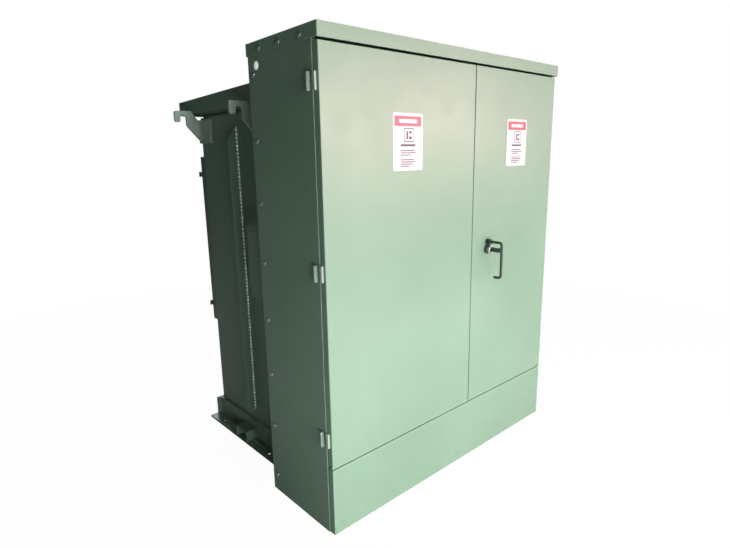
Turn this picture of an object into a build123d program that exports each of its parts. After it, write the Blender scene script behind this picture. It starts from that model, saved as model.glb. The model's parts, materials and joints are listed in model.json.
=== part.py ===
from build123d import *
import os

os.makedirs("parts", exist_ok=True)

# Three-phase pad-mounted distribution transformer, loop feed, dead front.
# Millimetres. +Z is up and the doors face -Y. The origin is on the pad under the middle of the tank.

# Driving dimensions -----------------------------------------------------------------------------
cabinet_width = 1414.0
cabinet_height = 1780.0
cabinet_depth = 411.0
tank_width = 1100.0
tank_depth = 762.0
tank_height = 1577.0
split_share = 398 / 707
sill_height = 268.0

# Sheets, plates and running clearances
cabinet_sheet = 3.0
door_sheet = 2.5
tank_wall = 6.0
frame_plate = 5.0
base_thickness = 10.0
door_gap = 4.0
sill_gap = 3.0
pin_clearance = 0.05
part_clearance = 1.0
bolt_clearance = 0.5
fillet_margin = 0.2

# Base, foot band and jacking brackets
base_ledge = 72.0
base_rear_ledge = 19.0
band_thickness = 14.0
band_height = 95.0
rear_band_reach = 19.0
bracket_width = 105.0
bracket_height = 54.0
bracket_wall = 10.0
rear_bracket_from_front = 390.0
front_bracket_from_front = 36.0
hold_down_radius = 11.0
hold_down_front = 230.0
hold_down_pitch = 450.0

# Tank top, weather cover and lifting hooks
tank_lip = 44.0
neck_inset = 12.0
neck_width = 33.0
neck_height = 10.0
gasket_height = 6.0
cover_thickness = 8.0
cover_bolt_radius = 6.0
cover_bolt_count = 6
cover_bolt_end_gap = 35.0
cover_bolt_head_radius = 10.5
cover_bolt_head_height = 7.0
weather_overhang = 29.0
weather_rear_overhang = 168.0
weather_lip_drop = 4.0
weather_front_rise = 89.0
weather_rear_rise = 64.0
weather_sheet = 3.0
weather_front_gap = 6.0
weather_rib_offset = 220.0
hook_plate = 12.0
hook_reach = 132.0
hook_leg = 106.0
hook_top_rise = 31.0
hook_root_top_drop = 10.0
hook_root_height = 110.0
hook_tip_width = 27.0
hook_slot_width = 30.0
hook_slot_rise = 12.0
hook_tip_drop = 21.0
hook_bend = 22.0
hook_tip_radius = 10.0
hook_shoulder_gap = 4.0
hook_shoulder_run = 16.0
hook_shoulder_drop = 12.0
hook_throat_drop = 12.0
hook_throat_run = 6.0
rear_hook_from_front = 749.0
front_hook_from_front = 209.0

# Stiffener, side box and radiator bank
rib_depth = 45.0
rib_thickness = 6.0
rib_from_front = 409.0
rib_foot = 45.0
rib_top_drop = 52.0
rib_chamfer = 61.0
rib_foot_chamfer = 22.5
box_reach = 97.0
box_width = 184.0
box_from_front = 19.0
box_bottom = 795.0
box_height = 309.0
box_roof_rise = 85.0
box_wall = 4.0
box_cover_margin = 18.0
fin_thickness = 9.0
fin_depth = 134.0
fin_pitch = 47.0
fin_count = 22
fin_bottom = 512.0
fin_height = 882.0
fin_wall_gap = 15.0
header_radius = 28.0
header_inset = 44.0
header_drop = 46.0
header_overrun = 8.0
stub_radius = 17.0
stub_gap_index = 7
tie_bar_width = 25.0
tie_bar_thickness = 5.0
tie_bar_overrun = 12.0
tie_bar_inset = 90.0

# Active part inside the tank
leg_pitch = 310.0
leg_width = 104.0
core_depth = 170.0
core_bottom = 170.0
leg_height = 620.0
yoke_height = 104.0
low_winding_inner = 101.0
low_winding_wall = 18.0
high_winding_gap = 8.0
high_winding_wall = 22.0
winding_end_gap = 25.0
clamp_thickness = 12.0

# Cabinet
hood_side_gap = 2.0
hood_front_overhang = 9.0
hood_rear_overhang = 4.0
hood_lip = 46.0
hood_fall = 4.0
door_top_gap = 6.0
door_depth = 27.0
door_rear_gap = 2.0
side_front_return = 25.0
door_edge_radius = 2.4
relief_start = 10.0
relief_rise = 8.0
frame_lap = 30.0
frame_flange = 60.0
header_rail_height = 60.0
header_rail_depth = 34.0
door_zone = 23.0
barrier_sheet = 3.0
barrier_foot = 12.0
barrier_fold = 24.0
barrier_head_gap = 40.0
side_bolt_count = 8
side_bolt_first = 74.0
side_bolt_pitch = 228.0
side_bolt_inset = 30.0
hood_bolt_first = 84.0
hood_bolt_pitch = 122.0
hood_bolt_count = 3
hood_bolt_drop = 28.0
bolt_radius = 4.0
bolt_head_radius = 8.5
bolt_head_height = 5.0
nut_height = 7.0

# Hinges
hinge_height = 56.0
hinge_knuckles = 5
hinge_axis_back = 42.0
hinge_barrel_radius = 7.0
hinge_pin_radius = 4.0
hinge_wall_gap = 0.3
hinge_end_gap = 0.4
hinge_leaf_length = 25.0
hinge_leaf_thickness = 3.8
hinge_front_reach = 30.0
hinge_top_inset = 117.0
hinge_bottom_inset = 112.0

# Door fittings
label_width = 155.0
label_height = 202.0
label_drop = 200.0
label_radius = 8.0
label_thickness = 0.8
stiffener_width = 60.0
stiffener_depth = 19.0
stiffener_sheet = 2.0
stiffener_end_gap = 30.0
hv_stiffener_from_hinge = 237.0
hv_stiffener_from_edge = 237.0
lv_stiffener_from_edge = 257.0
lv_stiffener_from_hinge = 135.0
handle_height = 968.0
handle_from_edge = 109.0
boss_radius = 21.0
boss_length = 14.0
boss_face_radius = 15.0
boss_shoulder = 7.0
shaft_radius = 8.0
spindle_radius = 10.0
grip_radius = 6.0
grip_standoff = 77.0
grip_top_rise = 34.0
grip_bottom_drop = 122.0
grip_return = 34.0
grip_bend = 14.0
collar_radius = 12.5
collar_thickness = 3.0
collar_spacing = 9.0
cam_thickness = 5.0
cam_radius = 34.0
cam_width = 24.0
latch_rod_width = 20.0
latch_rod_thickness = 6.0
latch_rod_offset = 24.0
latch_rod_end_gap = 12.0
guide_wall = 4.0
guide_length = 16.0
guide_inset = 60.0
stay_width = 16.0
stay_thickness = 5.0
stay_length = 300.0
stay_pin_radius = 4.0
stay_height = 440.0
stay_boss_radius = 12.0

# High-voltage compartment
well_pitch = 96.0
well_count = 6
well_height = 900.0
well_first = 70.0
well_flange_radius = 42.0
well_flange = 8.0
well_body_radius = 31.0
well_tip_radius = 25.0
well_length = 96.0
well_bore = 19.0
well_bore_depth = 70.0
well_stub = 60.0
stand_drop = 130.0
stand_width = 40.0
stand_reach = 60.0
stand_plate = 5.0
stand_lip = 5.0
fuse_pitch = 100.0
fuse_first = 90.0
fuse_height = 1250.0
fuse_flange_radius = 34.0
fuse_housing_radius = 24.0
fuse_front_length = 70.0
fuse_count = 3
fuse_inner_length = 190.0
fuse_end_gap = 8.0
fuse_rod_radius = 12.0
fuse_cap_radius = 22.0
fuse_cap_length = 26.0
fuse_ring_radius = 17.0
fuse_ring_wire = 4.0
switch_from_barrier = 110.0
switch_height = 1270.0
tap_height = 1110.0
seat_radius = 38.0
seat_thickness = 10.0
knob_shaft_radius = 8.0
knob_hub_radius = 18.0
knob_hub_length = 24.0
switch_arm_length = 110.0
tap_arm_length = 80.0
arm_width = 20.0
arm_thickness = 8.0
eye_radius = 13.0
eye_hole_radius = 6.7

# Low-voltage compartment
low_bushing_pitch = 100.0
low_row_share = 0.52
low_bushing_count = 4
low_bushing_height = 940.0
low_flange_radius = 46.0
low_flange = 10.0
low_body_radius = 33.0
low_body_length = 58.0
low_stub = 70.0
low_shed_count = 4
low_shed_reach = 6.0
spade_stud_radius = 16.5
spade_stud_length = 14.0
spade_width = 76.0
spade_thickness = 14.0
spade_length = 120.0
spade_hole_radius = 7.2
spade_hole_pitch = 44.5
gauge_height = 1330.0
gauge_first = 80.0
gauge_pitch = 130.0
gauge_radius = 45.0
gauge_depth = 30.0
gauge_rim = 4.0
gauge_face_depth = 6.0
needle_length = 32.0
needle_width = 4.0
needle_thickness = 1.6
needle_tail = 8.0
needle_pin_radius = 2.0
relief_from_side = 90.0
relief_height = 1440.0
relief_radius = 20.0
relief_length = 44.0
relief_shoulder = 26.0
relief_tip_radius = 12.0
relief_stub_radius = 10.0
valve_from_side = 110.0
valve_height = 140.0
valve_radius = 24.0
valve_length = 90.0
valve_flange = 13.5
valve_neck_radius = 14.5
valve_neck_end = 22.5
valve_globe_start = 36.0
valve_globe_end = 63.0
valve_outlet_radius = 17.0
valve_stub_radius = 12.0
valve_stem_place = 49.5
valve_lever_length = 110.0
valve_lever_width = 18.0
valve_lever_thickness = 6.0
valve_stem_radius = 6.0
valve_stem_rise = 16.0
valve_hub_radius = 12.0
nameplate_width = 210.0
nameplate_height = 160.0
nameplate_thickness = 1.0
nameplate_first = 60.0
nameplate_bottom = 1110.0
ground_pad_size = 50.0
ground_pad_depth = 12.0
ground_pad_height = 90.0
ground_pad_inset = 70.0

# Places worked out from the sizes above ----------------------------------------------------------
side_x = cabinet_width / 2
tank_x = tank_width / 2
tank_front = -tank_depth / 2
tank_back = tank_depth / 2
door_front = tank_front - cabinet_depth
door_back = door_front + door_depth
cabinet_front = door_back + door_rear_gap
door_x = side_x - cabinet_sheet
split_x = split_share * cabinet_width - side_x
door_bottom = sill_height + sill_gap
hood_bottom = cabinet_height - hood_lip
door_top = hood_bottom - door_top_gap
hood_x = side_x + hood_side_gap + cabinet_sheet
hood_front = door_front - hood_front_overhang
hood_back = tank_front + hood_rear_overhang
frame_front = tank_front - frame_plate
base_x = tank_x + base_ledge
base_back = tank_back + base_rear_ledge
band_top = base_thickness + band_height
cover_seat = tank_height + neck_height + gasket_height
cover_top = cover_seat + cover_thickness
weather_lip = cover_seat + weather_lip_drop
weather_front = tank_front + weather_front_gap
weather_back = tank_back + weather_rear_overhang
weather_x = tank_x + weather_overhang
inner_front = cabinet_front + door_zone
barrier_x = split_x
hinge_x = side_x + hinge_barrel_radius + hinge_wall_gap
hinge_y = door_front + hinge_axis_back
handle_x = split_x + handle_from_edge
grip_y = door_front - grip_standoff
latch_plane = door_front + door_sheet + latch_rod_offset - latch_rod_thickness - part_clearance
cam_back = latch_plane - part_clearance
stay_plane = door_back + part_clearance
hinge_heights = [
    door_top - hinge_top_inset,
    (door_top - hinge_top_inset + door_bottom + hinge_bottom_inset) / 2,
    door_bottom + hinge_bottom_inset,
]
hold_down_x = tank_x + band_thickness + (base_ledge - band_thickness) / 2
hold_down_y = tank_front + hold_down_front
header_y = tank_back + fin_wall_gap + header_inset
header_levels = (fin_bottom + header_drop, fin_bottom + fin_height - header_drop)
fin_rows = [(i - (fin_count - 1) / 2) * fin_pitch for i in range(fin_count)]
fin_bank_x = fin_rows[-1] + fin_thickness / 2
legs_bottom = core_bottom + yoke_height
legs_top = legs_bottom + leg_height
bolt_ring_x = tank_x - neck_inset - neck_width / 2
bolt_ring_y = tank_back - neck_inset - neck_width / 2
bolt_row_half = bolt_ring_y - cover_bolt_end_gap
cover_bolt_places = [
    (side * bolt_ring_x, bolt_row_half * (2 * i / (cover_bolt_count - 1) - 1))
    for side in (-1, 1)
    for i in range(cover_bolt_count)
]
side_bolt_places = [
    (tank_front - side_bolt_inset, side_bolt_first + i * side_bolt_pitch) for i in range(side_bolt_count)
]
hood_bolt_places = [
    (door_front + hood_bolt_first + i * hood_bolt_pitch, cabinet_height - hood_bolt_drop)
    for i in range(hood_bolt_count)
]
hv_limits = (-door_x, split_x - door_gap / 2)
lv_limits = (split_x + door_gap / 2, door_x)
door_heights = (door_bottom, door_top)
hv_stiffeners = (hv_limits[0] + hv_stiffener_from_hinge, hv_limits[1] - hv_stiffener_from_edge)
lv_stiffeners = (lv_limits[0] + lv_stiffener_from_edge, lv_limits[1] - lv_stiffener_from_hinge)
stay_z = door_bottom + stay_height


def block(x_limits, y_limits, z_limits):
    """Rectangular block between three pairs of limits."""
    limits = (x_limits, y_limits, z_limits)
    sizes = [high - low for low, high in limits]
    middles = [(high + low) / 2 for low, high in limits]
    return Pos(*middles) * Box(*sizes)


def round_bar(start, direction, radius, length):
    """Round bar that runs from a start point along a direction."""
    bar = Cylinder(radius, length, align=(Align.CENTER, Align.CENTER, Align.MIN))
    return Plane(origin=start, z_dir=direction).location * bar


def turned(start, direction, outline):
    """Turned piece: the outline gives its radii and distances along the direction."""
    profile = make_face(Polyline(*[(radius, 0, along) for radius, along in outline], close=True))
    return Plane(origin=start, z_dir=direction).location * revolve(profile, Axis.Z)


def plate_across_y(points, low, high):
    """Flat plate with an outline of (x, z) points between two y values."""
    outline = make_face(Polyline(*[(x, low, z) for x, z in points], close=True))
    return extrude(outline, amount=high - low, dir=(0, 1, 0))


def plate_across_x(points, low, high):
    """Flat plate with an outline of (y, z) points between two x values."""
    outline = make_face(Polyline(*[(low, y, z) for y, z in points], close=True))
    return extrude(outline, amount=high - low, dir=(1, 0, 0))


def is_at(value, place):
    """Whether a coordinate lies at a place, to well within a fillet."""
    return abs(value - place) < fillet_margin


def both_sides(shape):
    """A piece on the -X side and its mirror image on the +X side."""
    return [shape, mirror(shape, about=Plane.YZ)]


def save(name, *pieces):
    """Write one sub-part, with each loose piece as a solid of its own."""
    solids = [solid for piece in pieces for solid in piece.solids()]
    export_step(Compound(solids), f"parts/{name}.step")


def roof_height(y):
    """Height of the cabinet roof's upper face, which falls towards the tank."""
    return cabinet_height - hood_fall * (y - hood_front) / (hood_back - hood_front)


def weather_height(y):
    """Height of the weather cover's upper face, which falls towards the back."""
    front_top = weather_lip + weather_front_rise
    back_top = weather_lip + weather_rear_rise
    return front_top + (back_top - front_top) * (y - weather_front) / (weather_back - weather_front)


# Places of the fittings on the tank front --------------------------------------------------------
window_x = tank_x - frame_lap
well_places = [(-window_x + well_first + i * well_pitch, well_height) for i in range(well_count)]
fuse_places = [(-window_x + fuse_first + i * fuse_pitch, fuse_height) for i in range(fuse_count)]
switch_place = (barrier_x - switch_from_barrier, switch_height)
tap_place = (barrier_x - switch_from_barrier, tap_height)
low_row_x = barrier_x + low_row_share * (window_x - barrier_x)
low_places = [
    (low_row_x + (i - (low_bushing_count - 1) / 2) * low_bushing_pitch, low_bushing_height)
    for i in range(low_bushing_count)
]
gauge_places = [(barrier_x + gauge_first + i * gauge_pitch, gauge_height) for i in range(2)]
relief_place = (window_x - relief_from_side, relief_height)
valve_place = (window_x - valve_from_side, valve_height)
wall_holes = (
    [(place, well_body_radius) for place in well_places]
    + [(place, fuse_housing_radius) for place in fuse_places]
    + [(place, knob_shaft_radius) for place in (switch_place, tap_place)]
    + [(place, low_body_radius) for place in low_places]
    + [(relief_place, relief_stub_radius), (valve_place, valve_stub_radius)]
)


# Tank --------------------------------------------------------------------------------------------
def base_plate():
    plate = block((-base_x, base_x), (tank_front, base_back), (0, base_thickness))
    for x in (-hold_down_x, hold_down_x):
        for y in (hold_down_y, hold_down_y + hold_down_pitch):
            start = (x, y, -part_clearance)
            plate -= round_bar(start, (0, 0, 1), hold_down_radius, 2 * base_thickness)
    return plate


def base_band():
    side = block((-tank_x - band_thickness, -tank_x), (tank_front, tank_back), (base_thickness, band_top))
    reach = tank_x + band_thickness + rear_band_reach
    rear = block((-reach, reach), (tank_back, tank_back + band_thickness), (base_thickness, band_top))
    return both_sides(side) + [rear]


def jacking_bracket(from_front):
    low = tank_front + from_front
    high = low + bracket_width
    outer_x = (-base_x, -tank_x - band_thickness)
    top = base_thickness + bracket_height
    channel = block(outer_x, (low, high), (base_thickness, top))
    inner_y = (low + bracket_wall, high - bracket_wall)
    return both_sides(channel - block(outer_x, inner_y, (base_thickness, top - bracket_wall)))


def tank_shell():
    outer = block((-tank_x, tank_x), (tank_front, tank_back), (base_thickness, tank_height))
    outer = fillet(outer.edges().filter_by(Axis.Z), tank_wall)
    inner_x = tank_x - tank_wall
    inner_y = (tank_front + tank_wall, tank_back - tank_wall)
    shell = outer - block((-inner_x, inner_x), inner_y, (base_thickness, tank_height - tank_wall))
    mouth_x = tank_x - tank_lip
    mouth_y = (tank_front + tank_lip, tank_back - tank_lip)
    shell -= block((-mouth_x, mouth_x), mouth_y, (base_thickness, tank_height))
    for (x, z), radius in wall_holes:
        shell -= round_bar((x, tank_front - tank_wall, z), (0, 1, 0), radius, 3 * tank_wall)
    for x, y in cover_bolt_places:
        start = (x, y, tank_height - 2 * tank_wall)
        shell -= round_bar(start, (0, 0, 1), cover_bolt_radius, 3 * tank_wall)
    return shell + neck_ring(tank_height, neck_height)


def neck_ring(low, height):
    """Rectangular ring inside the tank's outline, which the neck and the gasket share."""
    outer_x = tank_x - neck_inset
    outer_y = tank_back - neck_inset
    ring = block((-outer_x, outer_x), (-outer_y, outer_y), (low, low + height))
    inner_x = outer_x - neck_width
    inner_y = outer_y - neck_width
    ring -= block((-inner_x, inner_x), (-inner_y, inner_y), (low, low + height))
    for x, y in cover_bolt_places:
        start = (x, y, low - part_clearance)
        ring -= round_bar(start, (0, 0, 1), cover_bolt_radius, height + 2 * part_clearance)
    return ring


def cover_plate():
    front = weather_front + weather_sheet + part_clearance
    plate = block((-tank_x, tank_x), (front, tank_back), (cover_seat, cover_top))
    for x, y in cover_bolt_places:
        start = (x, y, cover_seat - part_clearance)
        plate -= round_bar(start, (0, 0, 1), cover_bolt_radius, 2 * cover_thickness)
    return plate


def cover_bolt(x, y):
    low = tank_height - tank_wall - nut_height
    shank = round_bar((x, y, low), (0, 0, 1), cover_bolt_radius, cover_top - low)
    head = extrude(RegularPolygon(cover_bolt_head_radius, 6), amount=cover_bolt_head_height)
    nut = extrude(RegularPolygon(cover_bolt_head_radius, 6), amount=nut_height)
    return shank + Pos(x, y, cover_top) * head + Pos(x, y, low) * nut


def weather_cover():
    top_front = weather_height(weather_front)
    top_back = weather_height(weather_back)
    outline = [
        (weather_front, weather_lip),
        (weather_back, weather_lip),
        (weather_back, top_back),
        (weather_front, top_front),
    ]
    outer = plate_across_x(outline, -weather_x, weather_x)
    outer = fillet(outer.edges().filter_by(Axis.Z), weather_sheet)
    inner = [
        (weather_front + weather_sheet, weather_lip - part_clearance),
        (weather_back - weather_sheet, weather_lip - part_clearance),
        (weather_back - weather_sheet, top_back - weather_sheet),
        (weather_front + weather_sheet, top_front - weather_sheet),
    ]
    cover = outer - plate_across_x(inner, -weather_x + weather_sheet, weather_x - weather_sheet)
    for y in (-weather_rib_offset, weather_rib_offset):
        rib_top = weather_height(y) - weather_sheet / 2
        cover += block((-tank_x, tank_x), (y - weather_sheet, y), (cover_top, rib_top))
    return cover


def lifting_hook(from_front):
    """Bent plate hook: one leg flat on the tank side, the other standing out with a sling notch."""
    face_y = tank_front + from_front
    root_top = tank_height - hook_root_top_drop
    root_bottom = root_top - hook_root_height
    top = tank_height + hook_top_rise
    tip_x = -tank_x - hook_reach
    slot_left = tip_x + hook_tip_width
    slot_right = slot_left + hook_slot_width
    slot_top = tank_height + hook_slot_rise
    tip_bottom = tank_height - hook_tip_drop
    shoulder = -weather_x - hook_shoulder_gap
    throat_z = tip_bottom - hook_throat_drop
    outline = [
        (tip_x, tip_bottom),
        (slot_left, tip_bottom),
        (slot_left, slot_top),
        (slot_right, slot_top),
        (slot_right, throat_z),
        (slot_right + hook_throat_run, throat_z - hook_throat_drop),
        (-tank_x, root_bottom),
        (-tank_x, root_top),
        (shoulder + hook_shoulder_drop, root_top),
        (shoulder, weather_lip - hook_shoulder_drop),
        (shoulder - hook_shoulder_run, top),
        (tip_x, top),
    ]
    arm = plate_across_y(outline, face_y, face_y + hook_plate)
    across = arm.edges().filter_by(Axis.Y)
    notch = [edge for edge in across if is_at(edge.center().Z, slot_top)]
    arm = fillet(notch, hook_slot_width / 2 - fillet_margin)
    tips = [
        edge
        for edge in arm.edges().filter_by(Axis.Y)
        if edge.center().X < slot_left + part_clearance
        and (is_at(edge.center().Z, tip_bottom) or is_at(edge.center().Z, top))
    ]
    arm = fillet(tips, hook_tip_radius)
    leg_x = -tank_x - hook_plate
    leg = block((leg_x, -tank_x), (face_y - hook_leg, face_y + hook_plate), (root_bottom, root_top))
    hook = arm + leg
    bend = [
        edge
        for edge in hook.edges().filter_by(Axis.Z)
        if is_at(edge.center().X, leg_x) and is_at(edge.center().Y, face_y)
    ]
    return both_sides(fillet(bend, hook_bend))


def stiffener():
    low_y = tank_front + rib_from_front
    bottom = band_top + rib_foot
    top = tank_height - rib_top_drop
    outline = [
        (-tank_x, bottom),
        (-tank_x, top),
        (-tank_x - rib_depth, top - rib_chamfer),
        (-tank_x - rib_depth, bottom + rib_foot_chamfer),
        (-tank_x - rib_depth + rib_foot_chamfer, bottom),
    ]
    return both_sides(plate_across_y(outline, low_y, low_y + rib_thickness))


def side_box():
    """Weatherproof terminal box with a sloping roof, welded to the tank's left side."""
    low_y = tank_front + box_from_front
    high_y = low_y + box_width
    outline = [
        (-tank_x, box_bottom),
        (-tank_x - box_reach, box_bottom),
        (-tank_x - box_reach, box_bottom + box_height),
        (-tank_x, box_bottom + box_height + box_roof_rise),
    ]
    outer = plate_across_y(outline, low_y, high_y)
    inside_x = (-tank_x - box_reach + box_wall, -tank_x)
    inside_z = (box_bottom + box_wall, box_bottom + box_height - box_wall)
    outer -= block(inside_x, (low_y + box_wall, high_y - box_wall), inside_z)
    lid = block(
        (-tank_x - box_reach - box_wall, -tank_x - box_reach),
        (low_y + box_cover_margin, high_y - box_cover_margin),
        (box_bottom + box_cover_margin, box_bottom + box_height - box_cover_margin),
    )
    return outer + lid


def radiator_fins():
    fins = []
    low_y = tank_back + fin_wall_gap
    for x in fin_rows:
        fin = block(
            (x - fin_thickness / 2, x + fin_thickness / 2),
            (low_y, low_y + fin_depth),
            (fin_bottom, fin_bottom + fin_height),
        )
        fin = fillet(fin.edges().filter_by(Axis.Z), fin_thickness / 2 - fillet_margin)
        for z in header_levels:
            start = (x - fin_thickness, header_y, z)
            fin -= round_bar(start, (1, 0, 0), header_radius, 2 * fin_thickness)
        fins.append(fin)
    return fins


def radiator_header(z):
    half = fin_bank_x + header_overrun
    pipe = round_bar((-half, header_y, z), (1, 0, 0), header_radius, 2 * half)
    for x in (-stub_gap_index * fin_pitch, stub_gap_index * fin_pitch):
        pipe += round_bar((x, tank_back, z), (0, 1, 0), stub_radius, header_y - tank_back)
    return pipe


def tie_bars():
    half = fin_bank_x + tie_bar_overrun
    low_y = tank_back + fin_wall_gap + fin_depth
    bars = []
    for z in (fin_bottom + tie_bar_inset, fin_bottom + fin_height - tie_bar_inset):
        bar_z = (z - tie_bar_width / 2, z + tie_bar_width / 2)
        bars.append(block((-half, half), (low_y, low_y + tie_bar_thickness), bar_z))
    return bars


# Active part -------------------------------------------------------------------------------------
def core():
    half = leg_pitch + leg_width / 2
    depth = (-core_depth / 2, core_depth / 2)
    stack = block((-half, half), depth, (core_bottom, legs_top + yoke_height))
    window = leg_pitch - leg_width
    for x in (-leg_pitch / 2, leg_pitch / 2):
        stack -= block((x - window / 2, x + window / 2), depth, (legs_bottom, legs_top))
    return stack


def core_clamps():
    half = leg_pitch + leg_width / 2
    clamps = []
    for low, high in ((base_thickness, legs_bottom), (legs_top, legs_top + yoke_height)):
        clamp = block((-half, half), (-core_depth / 2 - clamp_thickness, -core_depth / 2), (low, high))
        clamps += [clamp, mirror(clamp, about=Plane.XZ)]
    return clamps


def windings(inner, wall):
    low = legs_bottom + winding_end_gap
    height = leg_height - 2 * winding_end_gap
    coils = []
    for x in (-leg_pitch, 0, leg_pitch):
        coil = round_bar((x, 0, low), (0, 0, 1), inner + wall, height)
        coils.append(coil - round_bar((x, 0, low), (0, 0, 1), inner, height))
    return coils


# Cabinet -----------------------------------------------------------------------------------------
def cabinet_side():
    """Left side sheet with an inward return along its front edge."""
    rear_top = roof_height(tank_front) - cabinet_sheet
    front_top = roof_height(cabinet_front) - cabinet_sheet
    outline = [(cabinet_front, 0), (tank_front, 0), (tank_front, rear_top), (cabinet_front, front_top)]
    sheet = plate_across_x(outline, -side_x, -side_x + cabinet_sheet)
    flange_x = (-side_x + cabinet_sheet, -side_x + cabinet_sheet + side_front_return)
    sheet += block(flange_x, (cabinet_front, cabinet_front + cabinet_sheet), (0, hood_bottom))
    for y, z in side_bolt_places + hood_bolt_places:
        start = (-side_x - cabinet_sheet, y, z)
        sheet -= round_bar(start, (1, 0, 0), bolt_radius + bolt_clearance, 3 * cabinet_sheet)
    return sheet


def back_frame():
    """Folded posts and two cross plates behind the compartments, round the tank front."""
    top = roof_height(tank_front) - cabinet_sheet
    frame_y = (frame_front, tank_front)
    post = block((-door_x, -window_x), frame_y, (0, top))
    flange_y = (frame_front - frame_flange, frame_front)
    post += block((-door_x, -door_x + frame_plate), flange_y, (0, top - hood_lip))
    for y, z in side_bolt_places:
        post -= round_bar((-side_x, y, z), (1, 0, 0), bolt_radius + bolt_clearance, 2 * frame_plate)
    lower = block((-window_x, window_x), frame_y, (0, frame_lap))
    upper = block((-window_x, window_x), frame_y, (tank_height - frame_lap, top))
    return both_sides(post) + [lower, upper]


def cabinet_hood():
    outline = [
        (hood_front, hood_bottom),
        (hood_back, hood_bottom),
        (hood_back, roof_height(hood_back)),
        (hood_front, roof_height(hood_front)),
    ]
    outer = plate_across_x(outline, -hood_x, hood_x)
    outer = fillet(outer.edges().filter_by(Axis.Z), cabinet_sheet)
    inner = [
        (hood_front + cabinet_sheet, hood_bottom - part_clearance),
        (hood_back - cabinet_sheet, hood_bottom - part_clearance),
        (hood_back - cabinet_sheet, roof_height(hood_back - cabinet_sheet) - cabinet_sheet),
        (hood_front + cabinet_sheet, roof_height(hood_front + cabinet_sheet) - cabinet_sheet),
    ]
    hood = outer - plate_across_x(inner, -hood_x + cabinet_sheet, hood_x - cabinet_sheet)
    for y, z in hood_bolt_places:
        hood -= round_bar((-2 * hood_x, y, z), (1, 0, 0), bolt_radius + bolt_clearance, 4 * hood_x)
    return hood


def folded_pan(x_limits, z_limits, depth, sheet):
    """Front sheet with all four edges folded back."""
    outer = block(x_limits, (door_front, door_front + depth), z_limits)
    outer = fillet(outer.faces().sort_by(Axis.Y)[0].edges(), door_edge_radius)
    inner_x = (x_limits[0] + sheet, x_limits[1] - sheet)
    inner_z = (z_limits[0] + sheet, z_limits[1] - sheet)
    return outer - block(inner_x, (door_front + sheet, door_front + depth), inner_z)


def door_panel(x_limits, z_limits, hinge_x_limits):
    """Door pan with a corner relief at the foot of its hinge-side fold."""
    relief_y = (door_front + relief_start, door_back)
    relief_z = (z_limits[0] + door_sheet, z_limits[0] + door_sheet + relief_rise)
    pan = folded_pan(x_limits, z_limits, door_depth, door_sheet)
    return pan - block(hinge_x_limits, relief_y, relief_z)


def header_rail():
    """Angle that ties the two side sheets together behind the tops of the doors."""
    top = roof_height(inner_front + header_rail_depth) - cabinet_sheet
    low = door_top - header_rail_height
    rail_x = (-door_x, door_x)
    rail = block(rail_x, (inner_front, inner_front + cabinet_sheet), (low, top))
    shelf_y = (inner_front, inner_front + header_rail_depth)
    return rail + block(rail_x, shelf_y, (low, low + cabinet_sheet))


def compartment_barrier():
    x_limits = (barrier_x, barrier_x + barrier_sheet)
    top = hood_bottom - barrier_head_gap - header_rail_height
    sheet = block(x_limits, (inner_front, frame_front), (barrier_foot, top))
    fold_x = (barrier_x, barrier_x + barrier_fold)
    return sheet + block(fold_x, (inner_front, inner_front + barrier_sheet), (barrier_foot, top))


def cabinet_bolt(x, y, z, grip):
    """Domed bolt and nut on the left side, from the outer face at x through a given grip."""
    outline = [
        (0, 0),
        (bolt_head_radius, 0),
        (bolt_head_radius, bolt_head_height / 2),
        (bolt_radius, bolt_head_height),
        (0, bolt_head_height),
    ]
    head = turned((x, y, z), (-1, 0, 0), outline)
    shank = round_bar((x, y, z), (1, 0, 0), bolt_radius, grip + nut_height)
    nut = extrude(RegularPolygon(bolt_head_radius, 6), amount=nut_height)
    return head + shank + Plane(origin=(x + grip, y, z), z_dir=(1, 0, 0)).location * nut


def cabinet_bolts():
    bolts = []
    for y, z in side_bolt_places:
        bolts += both_sides(cabinet_bolt(-side_x, y, z, cabinet_sheet + frame_plate))
    for y, z in hood_bolt_places:
        bolts += both_sides(cabinet_bolt(-hood_x, y, z, hood_x - door_x))
    return bolts


# Hinges ------------------------------------------------------------------------------------------
def knuckle_limits(middle, index):
    pitch = hinge_height / hinge_knuckles
    low = middle - hinge_height / 2 + index * pitch
    return low + hinge_end_gap / 2, low + pitch - hinge_end_gap / 2


def cabinet_hinge(middle):
    """Fixed half of a left-hand hinge: leaf, outer and middle knuckles, and the pin."""
    leaf_x = (-side_x - hinge_leaf_thickness, -side_x)
    leaf_y = (hinge_y + hinge_barrel_radius, hinge_y + hinge_barrel_radius + hinge_leaf_length)
    leaf = block(leaf_x, leaf_y, (middle - hinge_height / 2, middle + hinge_height / 2))
    for index in range(0, hinge_knuckles, 2):
        low, high = knuckle_limits(middle, index)
        leaf += round_bar((-hinge_x, hinge_y, low), (0, 0, 1), hinge_barrel_radius, high - low)
        leaf += block(leaf_x, (hinge_y, leaf_y[0]), (low, high))
    pin_length = hinge_height + 2 * hinge_end_gap
    pin = round_bar((-hinge_x, hinge_y, middle - pin_length / 2), (0, 0, 1), hinge_pin_radius, pin_length)
    return leaf + pin


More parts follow.
